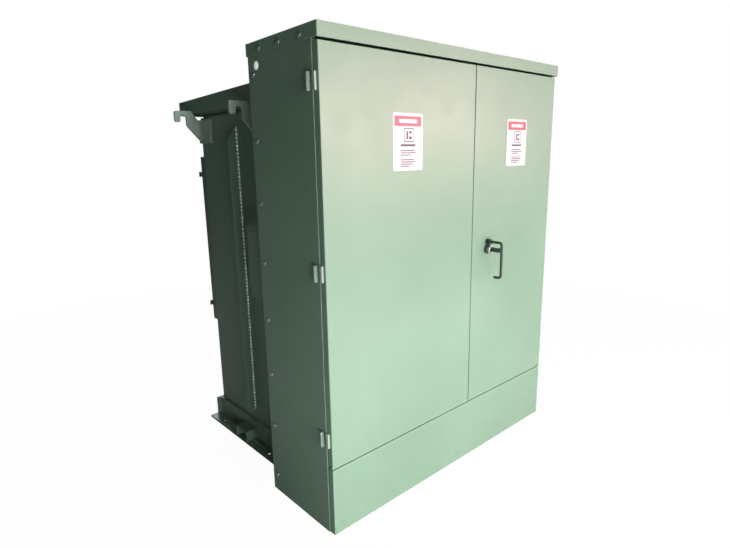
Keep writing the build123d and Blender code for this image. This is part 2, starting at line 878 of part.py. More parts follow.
def door_hinge(middle):
    """Moving half of a left-hand hinge: strap on the door edge with two knuckles."""
    strap_x = (-side_x - hinge_leaf_thickness, -door_x)
    strap_y = (hinge_y - hinge_front_reach, door_back)
    strap = block(strap_x, strap_y, (middle - hinge_height / 2, middle + hinge_height / 2))
    web_x = (-side_x - hinge_leaf_thickness, -side_x - hinge_wall_gap)
    for index in range(1, hinge_knuckles, 2):
        low, high = knuckle_limits(middle, index)
        start = (-hinge_x, hinge_y, low)
        strap += block(web_x, (door_back, hinge_y), (low, high))
        strap += round_bar(start, (0, 0, 1), hinge_barrel_radius, high - low)
        strap -= round_bar(start, (0, 0, 1), hinge_pin_radius + pin_clearance, high - low)
    return strap


# Doors -------------------------------------------------------------------------------------------
def label(x_limits):
    middle = (x_limits[0] + x_limits[1]) / 2
    card = block(
        (middle - label_width / 2, middle + label_width / 2),
        (door_front - label_thickness, door_front),
        (door_top - label_drop - label_height, door_top - label_drop),
    )
    return fillet(card.edges().filter_by(Axis.Y), label_radius)


def door_stiffener(x):
    """Vertical channel on the inside of a door."""
    inner_y = door_front + door_sheet
    z_limits = (door_bottom + stiffener_end_gap, door_top - stiffener_end_gap)
    half = stiffener_width / 2
    channel = block((x - half, x + half), (inner_y, inner_y + stiffener_depth), z_limits)
    hollow = (x - half + stiffener_sheet, x + half - stiffener_sheet)
    return channel - block(hollow, (inner_y, inner_y + stiffener_depth - stiffener_sheet), z_limits)


def stay_post(x):
    """Pivot pin of a door stay, which stands on a stiffener."""
    foot = door_front + door_sheet + stiffener_depth
    seat_length = stay_plane - foot
    pin_length = seat_length + stay_thickness + part_clearance
    seat = round_bar((x, foot, stay_z), (0, 1, 0), stay_boss_radius, seat_length)
    return seat + round_bar((x, foot, stay_z), (0, 1, 0), stay_pin_radius, pin_length)


def door_stay(x):
    """Flat stay bar that hangs from its pivot."""
    low_y = stay_plane + part_clearance / 2
    bar_x = (x - stay_width / 2, x + stay_width / 2)
    eye_heights = (stay_z - stay_length, stay_z)
    bar = block(bar_x, (low_y, low_y + stay_thickness), eye_heights)
    for z in eye_heights:
        bar += round_bar((x, low_y, z), (0, 1, 0), stay_boss_radius, stay_thickness)
    for z in eye_heights:
        bar -= round_bar((x, low_y, z), (0, 1, 0), stay_pin_radius + pin_clearance, stay_thickness)
    return bar


def rod_guide(z):
    """Strap that holds a latch rod against the door."""
    inner_y = door_front + door_sheet
    half = latch_rod_width / 2 + part_clearance
    back = latch_plane + latch_rod_thickness + part_clearance
    guide_z = (z, z + guide_length)
    strap_x = (handle_x - half - guide_wall, handle_x + half + guide_wall)
    strap = block(strap_x, (inner_y, back + guide_wall), guide_z)
    return strap - block((handle_x - half, handle_x + half), (latch_plane - part_clearance, back), guide_z)


def handle_boss():
    """Escutcheon on the door round the handle shaft, with the rest for the handle's upper leg."""
    start = (handle_x, door_front, handle_height)
    outline = [
        (0, 0),
        (boss_radius, 0),
        (boss_radius, boss_shoulder),
        (boss_face_radius, boss_length),
        (0, boss_length),
    ]
    boss = turned(start, (0, -1, 0), outline)
    boss -= round_bar(start, (0, -1, 0), shaft_radius + pin_clearance, boss_length)
    rest_z = handle_height + grip_top_rise
    rest = round_bar((handle_x, door_front, rest_z), (0, -1, 0), collar_radius, collar_thickness)
    rest += round_bar((handle_x, door_front, rest_z), (0, -1, 0), grip_radius, boss_shoulder)
    return [boss, rest]


def door_handle():
    """Bent rod handle on a thick spindle whose shaft passes through the door."""
    seat_y = door_front - boss_length - part_clearance
    seat = (handle_x, seat_y, handle_height)
    shaft_length = cam_back - cam_thickness - grip_y
    spindle = round_bar(seat, (0, -1, 0), spindle_radius, seat_y - grip_y)
    spindle += round_bar((handle_x, grip_y, handle_height), (0, 1, 0), shaft_radius, shaft_length)
    spindle += round_bar(seat, (0, -1, 0), collar_radius, 2 * collar_thickness)
    top_z = handle_height + grip_top_rise
    bottom_z = handle_height - grip_bottom_drop
    leg_end = door_front - boss_shoulder - part_clearance
    path = FilletPolyline(
        (handle_x, leg_end, top_z),
        (handle_x, grip_y, top_z),
        (handle_x, grip_y, bottom_z),
        (handle_x, grip_y + grip_return, bottom_z),
        radius=grip_bend,
    )
    section = Plane(origin=(handle_x, leg_end, top_z), z_dir=(0, -1, 0)) * Circle(grip_radius)
    handle = spindle + sweep(section, path=path)
    for step in range(2):
        start = leg_end - step * collar_spacing
        handle += round_bar((handle_x, start, top_z), (0, -1, 0), collar_radius, collar_thickness)
    return handle


def latch_cam():
    """Two-armed cam on the inner end of the handle shaft."""
    arm_x = (handle_x - cam_width / 2, handle_x + cam_width / 2)
    arm_z = (handle_height - cam_radius, handle_height + cam_radius)
    arm = block(arm_x, (cam_back - cam_thickness, cam_back), arm_z)
    return fillet(arm.edges().filter_by(Axis.Y), cam_width / 2 - fillet_margin)


def latch_rod(z_limits):
    """Flat rod that the cam draws towards the handle."""
    x_limits = (handle_x - latch_rod_width / 2, handle_x + latch_rod_width / 2)
    return block(x_limits, (latch_plane, latch_plane + latch_rod_thickness), z_limits)


# High-voltage compartment ------------------------------------------------------------------------
def bushing_well(x, z):
    outline = [
        (0, 0),
        (well_flange_radius, 0),
        (well_flange_radius, well_flange),
        (well_body_radius, well_flange),
        (well_tip_radius, well_length),
        (0, well_length),
    ]
    body = turned((x, tank_front, z), (0, -1, 0), outline)
    bore = round_bar((x, tank_front - well_length, z), (0, 1, 0), well_bore, well_bore_depth)
    stub = round_bar((x, tank_front, z), (0, 1, 0), well_body_radius, well_stub)
    return body - bore + stub


def parking_stand(x):
    """Angle bracket that parks an elbow below its well."""
    z = well_height - stand_drop
    half = stand_width / 2
    across = (x - half, x + half)
    front = tank_front - stand_reach
    foot = block(across, (tank_front - stand_plate, tank_front), (z - stand_width, z))
    shelf = block(across, (front, tank_front), (z, z + stand_plate))
    lip = block(across, (front, front + stand_plate), (z, z + stand_plate + stand_lip))
    return foot + shelf + lip


def fuse_housing(x, z):
    outline = [
        (0, 0),
        (fuse_flange_radius, 0),
        (fuse_flange_radius, well_flange),
        (fuse_housing_radius, well_flange),
        (fuse_housing_radius, fuse_front_length),
        (0, fuse_front_length),
    ]
    outer = turned((x, tank_front, z), (0, -1, 0), outline)
    outer += round_bar((x, tank_front, z), (0, 1, 0), fuse_housing_radius, fuse_inner_length)
    start = (x, tank_front - fuse_front_length, z)
    length = fuse_front_length + fuse_inner_length - fuse_end_gap
    return outer - round_bar(start, (0, 1, 0), fuse_rod_radius + pin_clearance, length)


def fuse_holder(x, z):
    """Draw-out fuse: carrier rod, cap and pull ring."""
    front = tank_front - fuse_front_length
    rod_length = fuse_front_length + fuse_inner_length - 2 * fuse_end_gap
    rod = round_bar((x, front, z), (0, 1, 0), fuse_rod_radius, rod_length)
    cap = round_bar((x, front, z), (0, -1, 0), fuse_cap_radius, fuse_cap_length)
    ring_y = front - fuse_cap_length - fuse_ring_radius + fuse_ring_wire / 2
    ring = Plane(origin=(x, ring_y, z), z_dir=(1, 0, 0)).location * Torus(fuse_ring_radius, fuse_ring_wire)
    return rod + cap + ring


def knob_seat(x, z):
    start = (x, tank_front, z)
    seat = round_bar(start, (0, -1, 0), seat_radius, seat_thickness)
    return seat - round_bar(start, (0, -1, 0), knob_shaft_radius + pin_clearance, seat_thickness)


def knob_arm(x, z, length):
    """Operating handle: shaft through the wall, hub and a long arm pointing up."""
    front = tank_front - seat_thickness - part_clearance
    hub = round_bar((x, front, z), (0, -1, 0), knob_hub_radius, knob_hub_length)
    shaft_length = seat_thickness + part_clearance + 2 * tank_wall
    hub += round_bar((x, front, z), (0, 1, 0), knob_shaft_radius - pin_clearance, shaft_length)
    arm_y = (front - knob_hub_length, front - knob_hub_length + arm_thickness)
    arm = block((x - arm_width / 2, x + arm_width / 2), arm_y, (z, z + length))
    tip = (x, arm_y[0], z + length)
    eye = round_bar(tip, (0, 1, 0), eye_radius, arm_thickness)
    return hub + arm + eye - round_bar(tip, (0, 1, 0), eye_hole_radius, arm_thickness)


# Low-voltage compartment -------------------------------------------------------------------------
def low_bushing(x, z):
    outline = [
        (0, 0),
        (low_flange_radius, 0),
        (low_flange_radius, low_flange),
        (low_body_radius, low_flange),
    ]
    step = (low_body_length - low_flange) / low_shed_count
    for i in range(low_shed_count):
        at = low_flange + i * step
        outline += [(low_body_radius + low_shed_reach, at + step / 2), (low_body_radius, at + step)]
    outline.append((0, low_body_length))
    body = turned((x, tank_front, z), (0, -1, 0), outline)
    return body + round_bar((x, tank_front, z), (0, 1, 0), low_body_radius, low_stub)


def spade(x, z):
    """Flat terminal with four holes on a round stud."""
    stud_end = tank_front - low_body_length
    stud = round_bar((x, stud_end, z), (0, -1, 0), spade_stud_radius, spade_stud_length)
    high_y = stud_end - spade_stud_length
    low_y = high_y - spade_length
    half = spade_hole_pitch / 2
    blade_x = (x - spade_thickness / 2, x + spade_thickness / 2)
    blade = block(blade_x, (low_y, high_y), (z - spade_width / 2, z + spade_width / 2))
    for hole_y in (low_y + half, low_y + 3 * half):
        for hole_z in (z - half, z + half):
            start = (x - spade_thickness, hole_y, hole_z)
            blade -= round_bar(start, (1, 0, 0), spade_hole_radius, 2 * spade_thickness)
    return stud + blade


def gauge_body(x, z):
    rim_y = tank_front - gauge_depth
    case = round_bar((x, tank_front, z), (0, -1, 0), gauge_radius, gauge_depth)
    dish = round_bar((x, rim_y, z), (0, 1, 0), gauge_radius - gauge_rim, gauge_face_depth)
    pin = round_bar((x, rim_y + gauge_face_depth, z), (0, -1, 0), needle_pin_radius, needle_thickness)
    return case - dish + pin


def gauge_needle(x, z):
    """Pointer that turns on the small pin in the middle of the dial."""
    face = tank_front - gauge_depth + gauge_face_depth
    low_y = face - 2 * needle_thickness
    high_y = face - part_clearance / 2
    hub = round_bar((x, low_y, z), (0, 1, 0), needle_width, high_y - low_y)
    blade_x = (x - needle_width / 2, x + needle_width / 2)
    blade = block(blade_x, (low_y, low_y + needle_thickness), (z - needle_tail, z + needle_length))
    start = (x, low_y + needle_thickness, z)
    return hub + blade - round_bar(start, (0, 1, 0), needle_pin_radius + pin_clearance, needle_thickness)


def relief_valve():
    x, z = relief_place
    outline = [
        (0, 0),
        (relief_radius, 0),
        (relief_radius, relief_shoulder),
        (relief_tip_radius, relief_length),
        (0, relief_length),
    ]
    body = turned((x, tank_front, z), (0, -1, 0), outline)
    return body + round_bar((x, tank_front, z), (0, 1, 0), relief_stub_radius, 3 * tank_wall)


def drain_valve():
    """Globe valve with an outlet plug and a stem on its upper side."""
    x, z = valve_place
    outline = [
        (0, 0),
        (valve_radius, 0),
        (valve_radius, valve_flange),
        (valve_neck_radius, valve_neck_end),
        (valve_radius, valve_globe_start),
        (valve_radius, valve_globe_end),
        (valve_outlet_radius, valve_length),
        (0, valve_length),
    ]
    body = turned((x, tank_front, z), (0, -1, 0), outline)
    body += round_bar((x, tank_front, z), (0, 1, 0), valve_stub_radius, 3 * tank_wall)
    stem_y = tank_front - valve_stem_place
    return body + round_bar((x, stem_y, z), (0, 0, 1), valve_stem_radius, valve_radius + valve_stem_rise)


def valve_lever():
    x, z = valve_place
    stem_y = tank_front - valve_stem_place
    low = z + valve_radius + part_clearance
    top = low + valve_stem_rise
    hub = round_bar((x, stem_y, low), (0, 0, 1), valve_hub_radius, valve_stem_rise)
    blade_x = (x - valve_lever_width / 2, x + valve_lever_width / 2)
    blade_y = (stem_y - valve_lever_length, stem_y)
    blade = block(blade_x, blade_y, (top - valve_lever_thickness, top))
    bore = round_bar((x, stem_y, low), (0, 0, 1), valve_stem_radius + pin_clearance, valve_stem_rise)
    return hub + blade - bore


def nameplate():
    low_x = barrier_x + nameplate_first
    plate_y = (tank_front - nameplate_thickness, tank_front)
    plate_z = (nameplate_bottom, nameplate_bottom + nameplate_height)
    plate = block((low_x, low_x + nameplate_width), plate_y, plate_z)
    return fillet(plate.edges().filter_by(Axis.Y), label_radius)


def ground_pads():
    x = -window_x + ground_pad_inset
    half = ground_pad_size / 2
    front = tank_front - ground_pad_depth
    pad_z = (ground_pad_height - half, ground_pad_height + half)
    pad = block((x - half, x + half), (front, tank_front), pad_z)
    start = (x, front, ground_pad_height)
    return both_sides(pad - round_bar(start, (0, 1, 0), bolt_radius + bolt_clearance, ground_pad_depth))


# Build -------------------------------------------------------------------------------------------
save("base_plate", base_plate())
save("base_band", *base_band())
brackets = jacking_bracket(rear_bracket_from_front) + jacking_bracket(front_bracket_from_front)
save("jacking_brackets", *brackets)
save("tank_shell", tank_shell())
save("cover_gasket", neck_ring(tank_height + neck_height, gasket_height))
save("tank_cover", cover_plate())
save("cover_bolts", *[cover_bolt(x, y) for x, y in cover_bolt_places])
save("weather_cover", weather_cover())
save("lifting_hooks", *lifting_hook(rear_hook_from_front), *lifting_hook(front_hook_from_front))
save("tank_stiffeners", *stiffener())
save("side_box", side_box())
save("radiator_fins", *radiator_fins())
save("radiator_headers", *[radiator_header(z) for z in header_levels], *tie_bars())
save("core", core())
save("core_clamps", *core_clamps())
low_coils = windings(low_winding_inner, low_winding_wall)
high_coils = windings(low_winding_inner + low_winding_wall + high_winding_gap, high_winding_wall)
save("windings", *low_coils, *high_coils)

side_left, side_right = both_sides(cabinet_side())
save("cabinet_side_left", side_left)
save("cabinet_side_right", side_right)
save("back_frame", *back_frame())
save("cabinet_hood", cabinet_hood())
sill_depth = door_depth + door_rear_gap
save("front_sill", folded_pan((-door_x, door_x), (0, sill_height), sill_depth, cabinet_sheet))
save("header_rail", header_rail())
save("compartment_barrier", compartment_barrier())
save("cabinet_bolts", *cabinet_bolts())

cabinet_hinges = [cabinet_hinge(z) for z in hinge_heights]
door_hinges = [door_hinge(z) for z in hinge_heights]
save("cabinet_hinges_left", *cabinet_hinges)
save("cabinet_hinges_right", *[mirror(hinge, about=Plane.YZ) for hinge in cabinet_hinges])
save("hv_door_hinges", *door_hinges)
save("lv_door_hinges", *[mirror(hinge, about=Plane.YZ) for hinge in door_hinges])

save("hv_door_panel", door_panel(hv_limits, door_heights, (-door_x, -door_x + door_sheet)))
save("hv_door_frame", *[door_stiffener(x) for x in hv_stiffeners], stay_post(hv_stiffeners[1]))
save("hv_door_label", label(hv_limits))
save("hv_door_stay", door_stay(hv_stiffeners[1]))
lv_panel = door_panel(lv_limits, door_heights, (door_x - door_sheet, door_x))
shaft_start = (handle_x, door_front, handle_height)
lv_panel -= round_bar(shaft_start, (0, 1, 0), shaft_radius + part_clearance, door_sheet)
save("lv_door_panel", lv_panel)
guides = [rod_guide(door_top - guide_inset), rod_guide(door_bottom + guide_inset - guide_length)]
save("lv_door_frame", *[door_stiffener(x) for x in lv_stiffeners], stay_post(lv_stiffeners[1]), *guides)
save("lv_door_label", label(lv_limits))
save("lv_door_stay", door_stay(lv_stiffeners[1]))
save("handle_boss", *handle_boss())
save("door_handle", door_handle())
save("latch_cam", latch_cam())
save("latch_rod_top", latch_rod((handle_height + latch_rod_offset, door_top - latch_rod_end_gap)))
save("latch_rod_bottom", latch_rod((door_bottom + latch_rod_end_gap, handle_height - latch_rod_offset)))

save("hv_bushing_wells", *[bushing_well(x, z) for x, z in well_places])
save("parking_stands", *[parking_stand(x) for x, z in well_places])
save("fuse_housings", *[fuse_housing(x, z) for x, z in fuse_places])
for number, (x, z) in enumerate(fuse_places):
    save(f"fuse_holder_{number + 1}", fuse_holder(x, z))
save("knob_seats", knob_seat(*switch_place), knob_seat(*tap_place))
save("switch_handle", knob_arm(*switch_place, switch_arm_length))
save("tap_handle", knob_arm(*tap_place, tap_arm_length))
save("lv_bushings", *[low_bushing(x, z) for x, z in low_places])
save("lv_spades", *[spade(x, z) for x, z in low_places])
save("gauge_bodies", *[gauge_body(x, z) for x, z in gauge_places])
save("level_needle", gauge_needle(*gauge_places[0]))
save("temperature_needle", gauge_needle(*gauge_places[1]))
save("relief_valve", relief_valve())
save("drain_valve", drain_valve())
save("valve_lever", valve_lever())
save("nameplate", nameplate())
save("ground_pads", *ground_pads())
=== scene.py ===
"""Finishes, welds, prints and fittings of a pad-mounted distribution transformer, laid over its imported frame.

Metres, in the frame's own axes: +Z is up, the cabinet doors face -Y and the pad is at z = 0.
Every new piece is a surface worked out with numpy, placed from the frame's nodes.
"""

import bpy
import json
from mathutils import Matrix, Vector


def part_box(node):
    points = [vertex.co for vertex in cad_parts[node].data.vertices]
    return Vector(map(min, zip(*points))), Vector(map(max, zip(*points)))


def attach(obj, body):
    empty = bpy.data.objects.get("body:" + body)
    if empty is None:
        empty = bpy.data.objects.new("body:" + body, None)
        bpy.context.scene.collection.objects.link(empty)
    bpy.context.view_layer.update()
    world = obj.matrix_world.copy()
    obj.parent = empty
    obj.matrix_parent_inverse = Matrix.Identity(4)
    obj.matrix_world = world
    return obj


bl_info = {
    "name": "Pad-mounted transformer finishes",
    "version": (1, 0, 0),
    "blender": (4, 5, 0),
    "location": "3D View > Sidebar > Transformer",
    "description": "Paint, welds, labels, seals and fittings of a pad-mounted transformer",
    "category": "Object",
}

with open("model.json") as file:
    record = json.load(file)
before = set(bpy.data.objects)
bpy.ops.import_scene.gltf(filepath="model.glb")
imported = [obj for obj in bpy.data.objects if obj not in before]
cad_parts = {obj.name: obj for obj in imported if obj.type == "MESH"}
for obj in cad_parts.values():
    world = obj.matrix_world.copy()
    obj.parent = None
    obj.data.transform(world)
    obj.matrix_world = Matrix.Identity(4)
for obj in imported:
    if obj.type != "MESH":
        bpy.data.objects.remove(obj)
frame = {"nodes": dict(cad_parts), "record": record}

import json

import bmesh
import bpy
import numpy as np
from bpy.props import FloatProperty, FloatVectorProperty, PointerProperty
from mathutils import Matrix, Vector

RECORD = frame["record"]
NODES = frame["nodes"]
SLOT = {part["node"]: part["material_slot"] for part in RECORD["subparts"]}
MOUNTS = {mount["name"]: mount for mount in RECORD["mounts"]}
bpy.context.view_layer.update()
ROOT = "transformer"

X = np.array((1.0, 0.0, 0.0))
Y = np.array((0.0, 1.0, 0.0))
Z = np.array((0.0, 0.0, 1.0))
MM = 0.001

# How finely round pieces are divided, and how near two points are when they count as one
ROUND_SIDES = 64
COLLAR_SIDES = 48
HEAD_SIDES = 24
RIVET_SIDES = 20
TUBE_SIDES = 12
MERGE_REACH = 1e-6
SLIVER = 1e-7
SNAPS_PER_METRE = 1e5

# Places that the frame's boxes don't give
GAUGE_Z = 1.330
HANDLE_Z = 0.968
HINGE_Y = -0.750
SHEET_FRONT = -0.763
SHEET_MIDDLE = 0.0015
EDGE_TOP = 1.732
TAG_Y = -0.436
KNUCKLE_REACH = 0.0050
STRAP_EDGE = -0.7700
WELL_FLANGE = 0.008
LOW_FLANGE = 0.010
DIAL_DEPTH = 0.006
DOOR_SKIN = 0.0025
BOLT_HEAD = 0.005

# Finishes of nodes that differ from their slot's
NODE_FINISH = {
    "cabinet_hinges_left": "hinge_metal", "cabinet_hinges_right": "hinge_metal",
    "hv_door_hinges": "hinge_metal", "lv_door_hinges": "hinge_metal",
    # The cabinet bolts take the zinc brightened as painted light for the side's shade
    "cabinet_bolts": "bright_zinc", "door_handle": "handle_paint", "handle_boss": "handle_paint",
    "side_box": "painted_green",
}


# Settings ------------
def colour_setting(name, description, default):
    """A colour."""
    return FloatVectorProperty(
        name=name, description=description, subtype="COLOR", size=3, min=0, max=1, default=default,
    )


def share_setting(name, description, default, most=1):
    """A number between nothing and the most."""
    return FloatProperty(name=name, description=description, default=default, min=0, max=most, subtype="FACTOR")


def length_setting(name, description, default, least, most):
    """A length in metres."""
    return FloatProperty(name=name, description=description, default=default, min=least, max=most, unit="LENGTH")


def power_setting(name, description, default):
    """The power of a lamp in watts."""
    return FloatProperty(name=name, description=description, default=default, min=0, unit="POWER")


class PaintSettings(bpy.types.PropertyGroup):
    """The enamel that covers the tank and the cabinet."""

    green: colour_setting("Cabinet green", "Colour of the enamel", (0.118, 0.190, 0.137))
    roughness: share_setting("Roughness", "How dull the enamel is", 0.36)
    peel: share_setting("Orange peel", "Strength of the sprayed texture", 0.05)
    dust: share_setting("Dust", "How much dust lies on the lowest part", 0.04)


class WeldSettings(bpy.types.PropertyGroup):
    """Sizes of the weld beads."""

    leg: length_setting("Weld leg", "Height of a fillet weld on each plate", 0.0055, 0.001, 0.02)
    ripple: length_setting("Ripple pitch", "Distance between two ripples of a bead", 0.007, 0.002, 0.05)
    ripple_depth: share_setting("Ripple depth", "Depth of a ripple, as a share of the bead", 0.16, 0.5)


class LabelSettings(bpy.types.PropertyGroup):
    """The plain labels on the doors and the round tag on the side."""

    band: colour_setting("Band colour", "Colour of the band at the top of a label", (0.30, 0.028, 0.052))
    ink: colour_setting("Ink colour", "Colour of the printed bars", (0.045, 0.043, 0.047))
    print_height: length_setting("Print height", "How far the print stands out of the label", 0.00015, 0.00005, 0.001)
    tag_radius: length_setting("Tag radius", "Radius of the round tag", 0.0145, 0.005, 0.05)
    tag_height: length_setting("Tag height", "Height of the tag's middle above the pad", 1.699, 0.1, 1.75)


class StudioSettings(bpy.types.PropertyGroup):
    """Lights, floor and camera."""

    front: FloatProperty(
        name="Front light", description="Strength of the wide soft light before the doors", default=1.3, min=0,
    )
    warm: power_setting("Warm panel", "Power of the warm panel high before the doors", 235)
    low: power_setting("Low light", "Power of the soft light near the floor", 128)
    key: power_setting("Key light", "Power of the far front light", 280)
    top: power_setting("Top light", "Power of the light above", 70)
    rear: power_setting("Rear light", "Power of the light behind", 110)
    sky: FloatProperty(name="Ambient", description="Strength of the even light all round", default=0.048, min=0)
    lens: FloatProperty(name="Lens", description="Focal length on a 36 mm sensor", default=25.75, min=10, max=200)


# Surfaces ------------
def repeated(faces, step, count):
    """The same faces over and over, each time a step further on in the points."""
    return (faces[None] + step * np.arange(count)[:, None, None]).reshape(-1, 4)


def grid_faces(rows, columns, wrap_rows=False, wrap_columns=False):
    """Corner indices of the cells of a rows by columns grid, whose ends can be joined."""
    i = np.arange(rows if wrap_rows else rows - 1)[:, None]
    j = np.arange(columns if wrap_columns else columns - 1)[None, :]
    i_next, j_next = (i + 1) % rows, (j + 1) % columns
    cells = [i * columns + j, i_next * columns + j, i_next * columns + j_next, i * columns + j_next]
    return np.stack([np.broadcast_to(c, np.broadcast_shapes(i.shape, j.shape)).ravel() for c in cells], 1)


def outward(points, faces):
    """Turns all faces round if the closed surface's signed volume, a sum of corner triple products, is negative."""
    a, b, c, d = (points[faces[:, k]] for k in range(4))
    volume = np.einsum("ij,ij->", a, np.cross(b, c)) + np.einsum("ij,ij->", a, np.cross(c, d))
    return faces if volume > 0 else faces[:, ::-1]


def cross_directions(axis, other):
    """Two unit directions square to an axis and to each other."""
    u = np.cross(axis, other)
    u /= np.linalg.norm(u)
    return u, np.cross(axis, u)


def turned(profile, start, direction, sides=ROUND_SIDES):
    """Surface of turning. Each point is the start, plus the profile's height along the axis, plus its radius times
    the cosine of the angle along one cross direction and the sine along the other."""
    profile = np.asarray(profile, float)
    axis = np.asarray(direction, float) / np.linalg.norm(direction)
    u, v = cross_directions(axis, X if abs(axis[0]) < 0.9 else Y)
    angle = np.linspace(0, 2 * np.pi, sides, endpoint=False)
    ring = np.cos(angle)[:, None] * u + np.sin(angle)[:, None] * v
    points = np.asarray(start) + profile[:, 1, None, None] * axis + profile[:, 0, None, None] * ring
    points = points.reshape(-1, 3)
    return points, outward(points, grid_faces(len(profile), sides, wrap_columns=True))


def boxes(lows, highs):
    """Closed boxes between rows of low and of high corners: a corner is low + (0 or 1) * (high - low) on each axis."""
    lows, highs = np.atleast_2d(np.asarray(lows, float)), np.atleast_2d(np.asarray(highs, float))
    corner = np.array([(i, j, k) for i in (0, 1) for j in (0, 1) for k in (0, 1)])
    points = lows[:, None, :] + corner[None] * (highs - lows)[:, None, :]
    cube = np.array([(0, 1, 3, 2), (4, 6, 7, 5), (0, 4, 5, 1), (2, 3, 7, 6), (0, 2, 6, 4), (1, 5, 7, 3)])
    return points.reshape(-1, 3), repeated(cube, 8, len(lows))


def copies(surface, offsets):
    """The same surface moved by each row of offsets."""
    points, faces = surface
    offsets = np.atleast_2d(np.asarray(offsets, float))
    moved = points[None] + offsets[:, None, :]
    return moved.reshape(-1, 3), repeated(faces, len(points), len(offsets))


def mirrored(surface):
    """The surface and its image in the plane x = 0, with the image's faces turned round."""
    points, faces = surface
    return together([surface, (points * (-1, 1, 1), faces[:, ::-1])])


def together(surfaces):
    """Several surfaces as one."""
    counts = np.cumsum([0] + [len(points) for points, _ in surfaces[:-1]])
    points = np.concatenate([points for points, _ in surfaces])
    return points, np.concatenate([faces + count for (_, faces), count in zip(surfaces, counts)])


def carried(path, profile, normals, binormals, closed=False):
    """Closed profile carried along a path. Each point is a path point, plus the profile's first measure along the
    normal there and its second along the binormal. The ends are flat, unless the path is closed."""
    path, profile = np.asarray(path, float), np.asarray(profile, float)
    normals = np.broadcast_to(normals, path.shape)
    binormals = np.broadcast_to(binormals, path.shape)
    if profile.ndim == 2:
        profile = np.broadcast_to(profile, (len(path), *profile.shape))
    rings = (
        path[:, None, :]
        + profile[:, :, 0, None] * normals[:, None, :]
        + profile[:, :, 1, None] * binormals[:, None, :]
    )
    if not closed:
        first, last = rings[:1].mean(1, keepdims=True), rings[-1:].mean(1, keepdims=True)
        first, last = (np.broadcast_to(end, rings[:1].shape) for end in (first, last))
        rings = np.concatenate([first, rings, last])
    points = rings.reshape(-1, 3)
    faces = grid_faces(len(rings), rings.shape[1], wrap_rows=closed, wrap_columns=True)
    return points, outward(points, faces)


def piece(name, surface, finish, body=ROOT, smooth=True):
    """One mesh object made from a surface, which has a finish and rides on a body."""
    points, faces = surface
    mesh = bpy.data.meshes.new(name)
    mesh.from_pydata(points.tolist(), [], faces.tolist())
    mesh.polygons.foreach_set("use_smooth", np.full(len(mesh.polygons), smooth))
    mesh.validate()
    mesh.update()
    made = in_scene(name, mesh)
    merge_doubles(made)
    mesh.materials.append(FINISH[finish])
    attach(made, body)


def in_scene(name, data):
    """A new object in the scene."""
    made = bpy.data.objects.new(name, data)
    bpy.context.scene.collection.objects.link(made)
    return made


def merge_doubles(made):
    """Joins the coincident points of poles and ends."""
    work = bmesh.new()
    work.from_mesh(made.data)
    bmesh.ops.remove_doubles(work, verts=work.verts, dist=MERGE_REACH)
    bmesh.ops.dissolve_degenerate(work, edges=work.edges, dist=SLIVER)
    work.to_mesh(made.data)
    work.free()


def corners(node):
    """Lowest and highest corner of a node as arrays."""
    low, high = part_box(node)
    return np.array(low), np.array(high)


def loose_boxes(node):
    """Boxes of a node's separate solids: the lowest and highest corner of each, sorted by place. Each point takes the
    lowest number among the triangles that it joins, again and again until none changes."""
    mesh = NODES[node].data
    co = np.empty(len(mesh.vertices) * 3)
    mesh.vertices.foreach_get("co", co)
    co = co.reshape(-1, 3)
    keys, index = np.unique(
        np.round(co * SNAPS_PER_METRE).astype(np.int64), axis=0, return_inverse=True,
    )
    index = index.ravel()
    corner = np.empty(len(mesh.loops), np.int64)
    mesh.loops.foreach_get("vertex_index", corner)
    tri = index[corner].reshape(-1, 3)
    label = np.arange(len(keys))
    while True:
        lowest = label[tri].min(1)
        new = label.copy()
        np.minimum.at(new, tri.ravel(), np.repeat(lowest, 3))
        new = new[new]
        if (new == label).all():
            break
        label = new
    points = keys / SNAPS_PER_METRE
    found = [(points[label == k].min(0), points[label == k].max(0)) for k in np.unique(label)]
    return sorted(found, key=lambda pair: tuple(np.round(pair[0], 4)))


def middles(node):
    """The middle of each separate solid of a node."""
    return [(low + high) / 2 for low, high in loose_boxes(node)]


# Materials ------------
SOCKETS = {"ior": "IOR", "metallic": "Metallic", "roughness": "Roughness"}
DUST_COLOUR = (0.42, 0.38, 0.30)
DUST_REACH = 0.22
FINE_LINES = 900
CRYSTALS = 240
FILM_BEADS = 900
# Strength of the round tag's painted glow, which stands in for light on the shaded side
PAINTED_FILM_GLOW = 0.45
HINGE_BRIGHT = ((0.54, 0.59, 0.54), (0.72, 0.78, 0.72))


def start_material(name, **sockets):
    """A new material with one Principled shader whose sockets are set to constants."""
    material = bpy.data.materials.new(name)
    material.use_nodes = True
    tree = material.node_tree
    shader = tree.nodes["Principled BSDF"]
    for socket, value in sockets.items():
        shader.inputs[SOCKETS[socket]].default_value = value
    return material, tree, shader


def add(tree, kind, links=(), **values):
    """Adds a node, sets its properties and links its inputs: links is pairs of (input, output socket)."""
    node = tree.nodes.new(kind)
    for key, value in values.items():
        if hasattr(node, key):
            setattr(node, key, value)
        else:
            node.inputs[key].default_value = value
    for socket, source in links:
        tree.links.new(source, node.inputs[socket])
    return node


def place(tree, scale=(1, 1, 1)):
    """Object coordinates, in metres, stretched by a scale."""
    coordinate = add(tree, "ShaderNodeTexCoord")
    mapping = add(tree, "ShaderNodeMapping", [("Vector", coordinate.outputs["Object"])], Scale=scale)
    return mapping.outputs["Vector"]


def noise(tree, vector, scale, detail=3.0, roughness=0.55):
    """Fractal noise between 0 and 1."""
    made = add(tree, "ShaderNodeTexNoise", [("Vector", vector)], Scale=scale, Detail=detail, Roughness=roughness)
    return made.outputs["Fac"]


def ramp(tree, factor, stops):
    """Colour ramp through (place, colour) stops."""
    made = add(tree, "ShaderNodeValToRGB", [("Fac", factor)])
    band = made.color_ramp
    while len(band.elements) < len(stops):
        band.elements.new(0.5)
    for element, (at, colour) in zip(band.elements, stops):
        element.position = at
        element.color = (*colour, 1)
    return made.outputs["Color"]


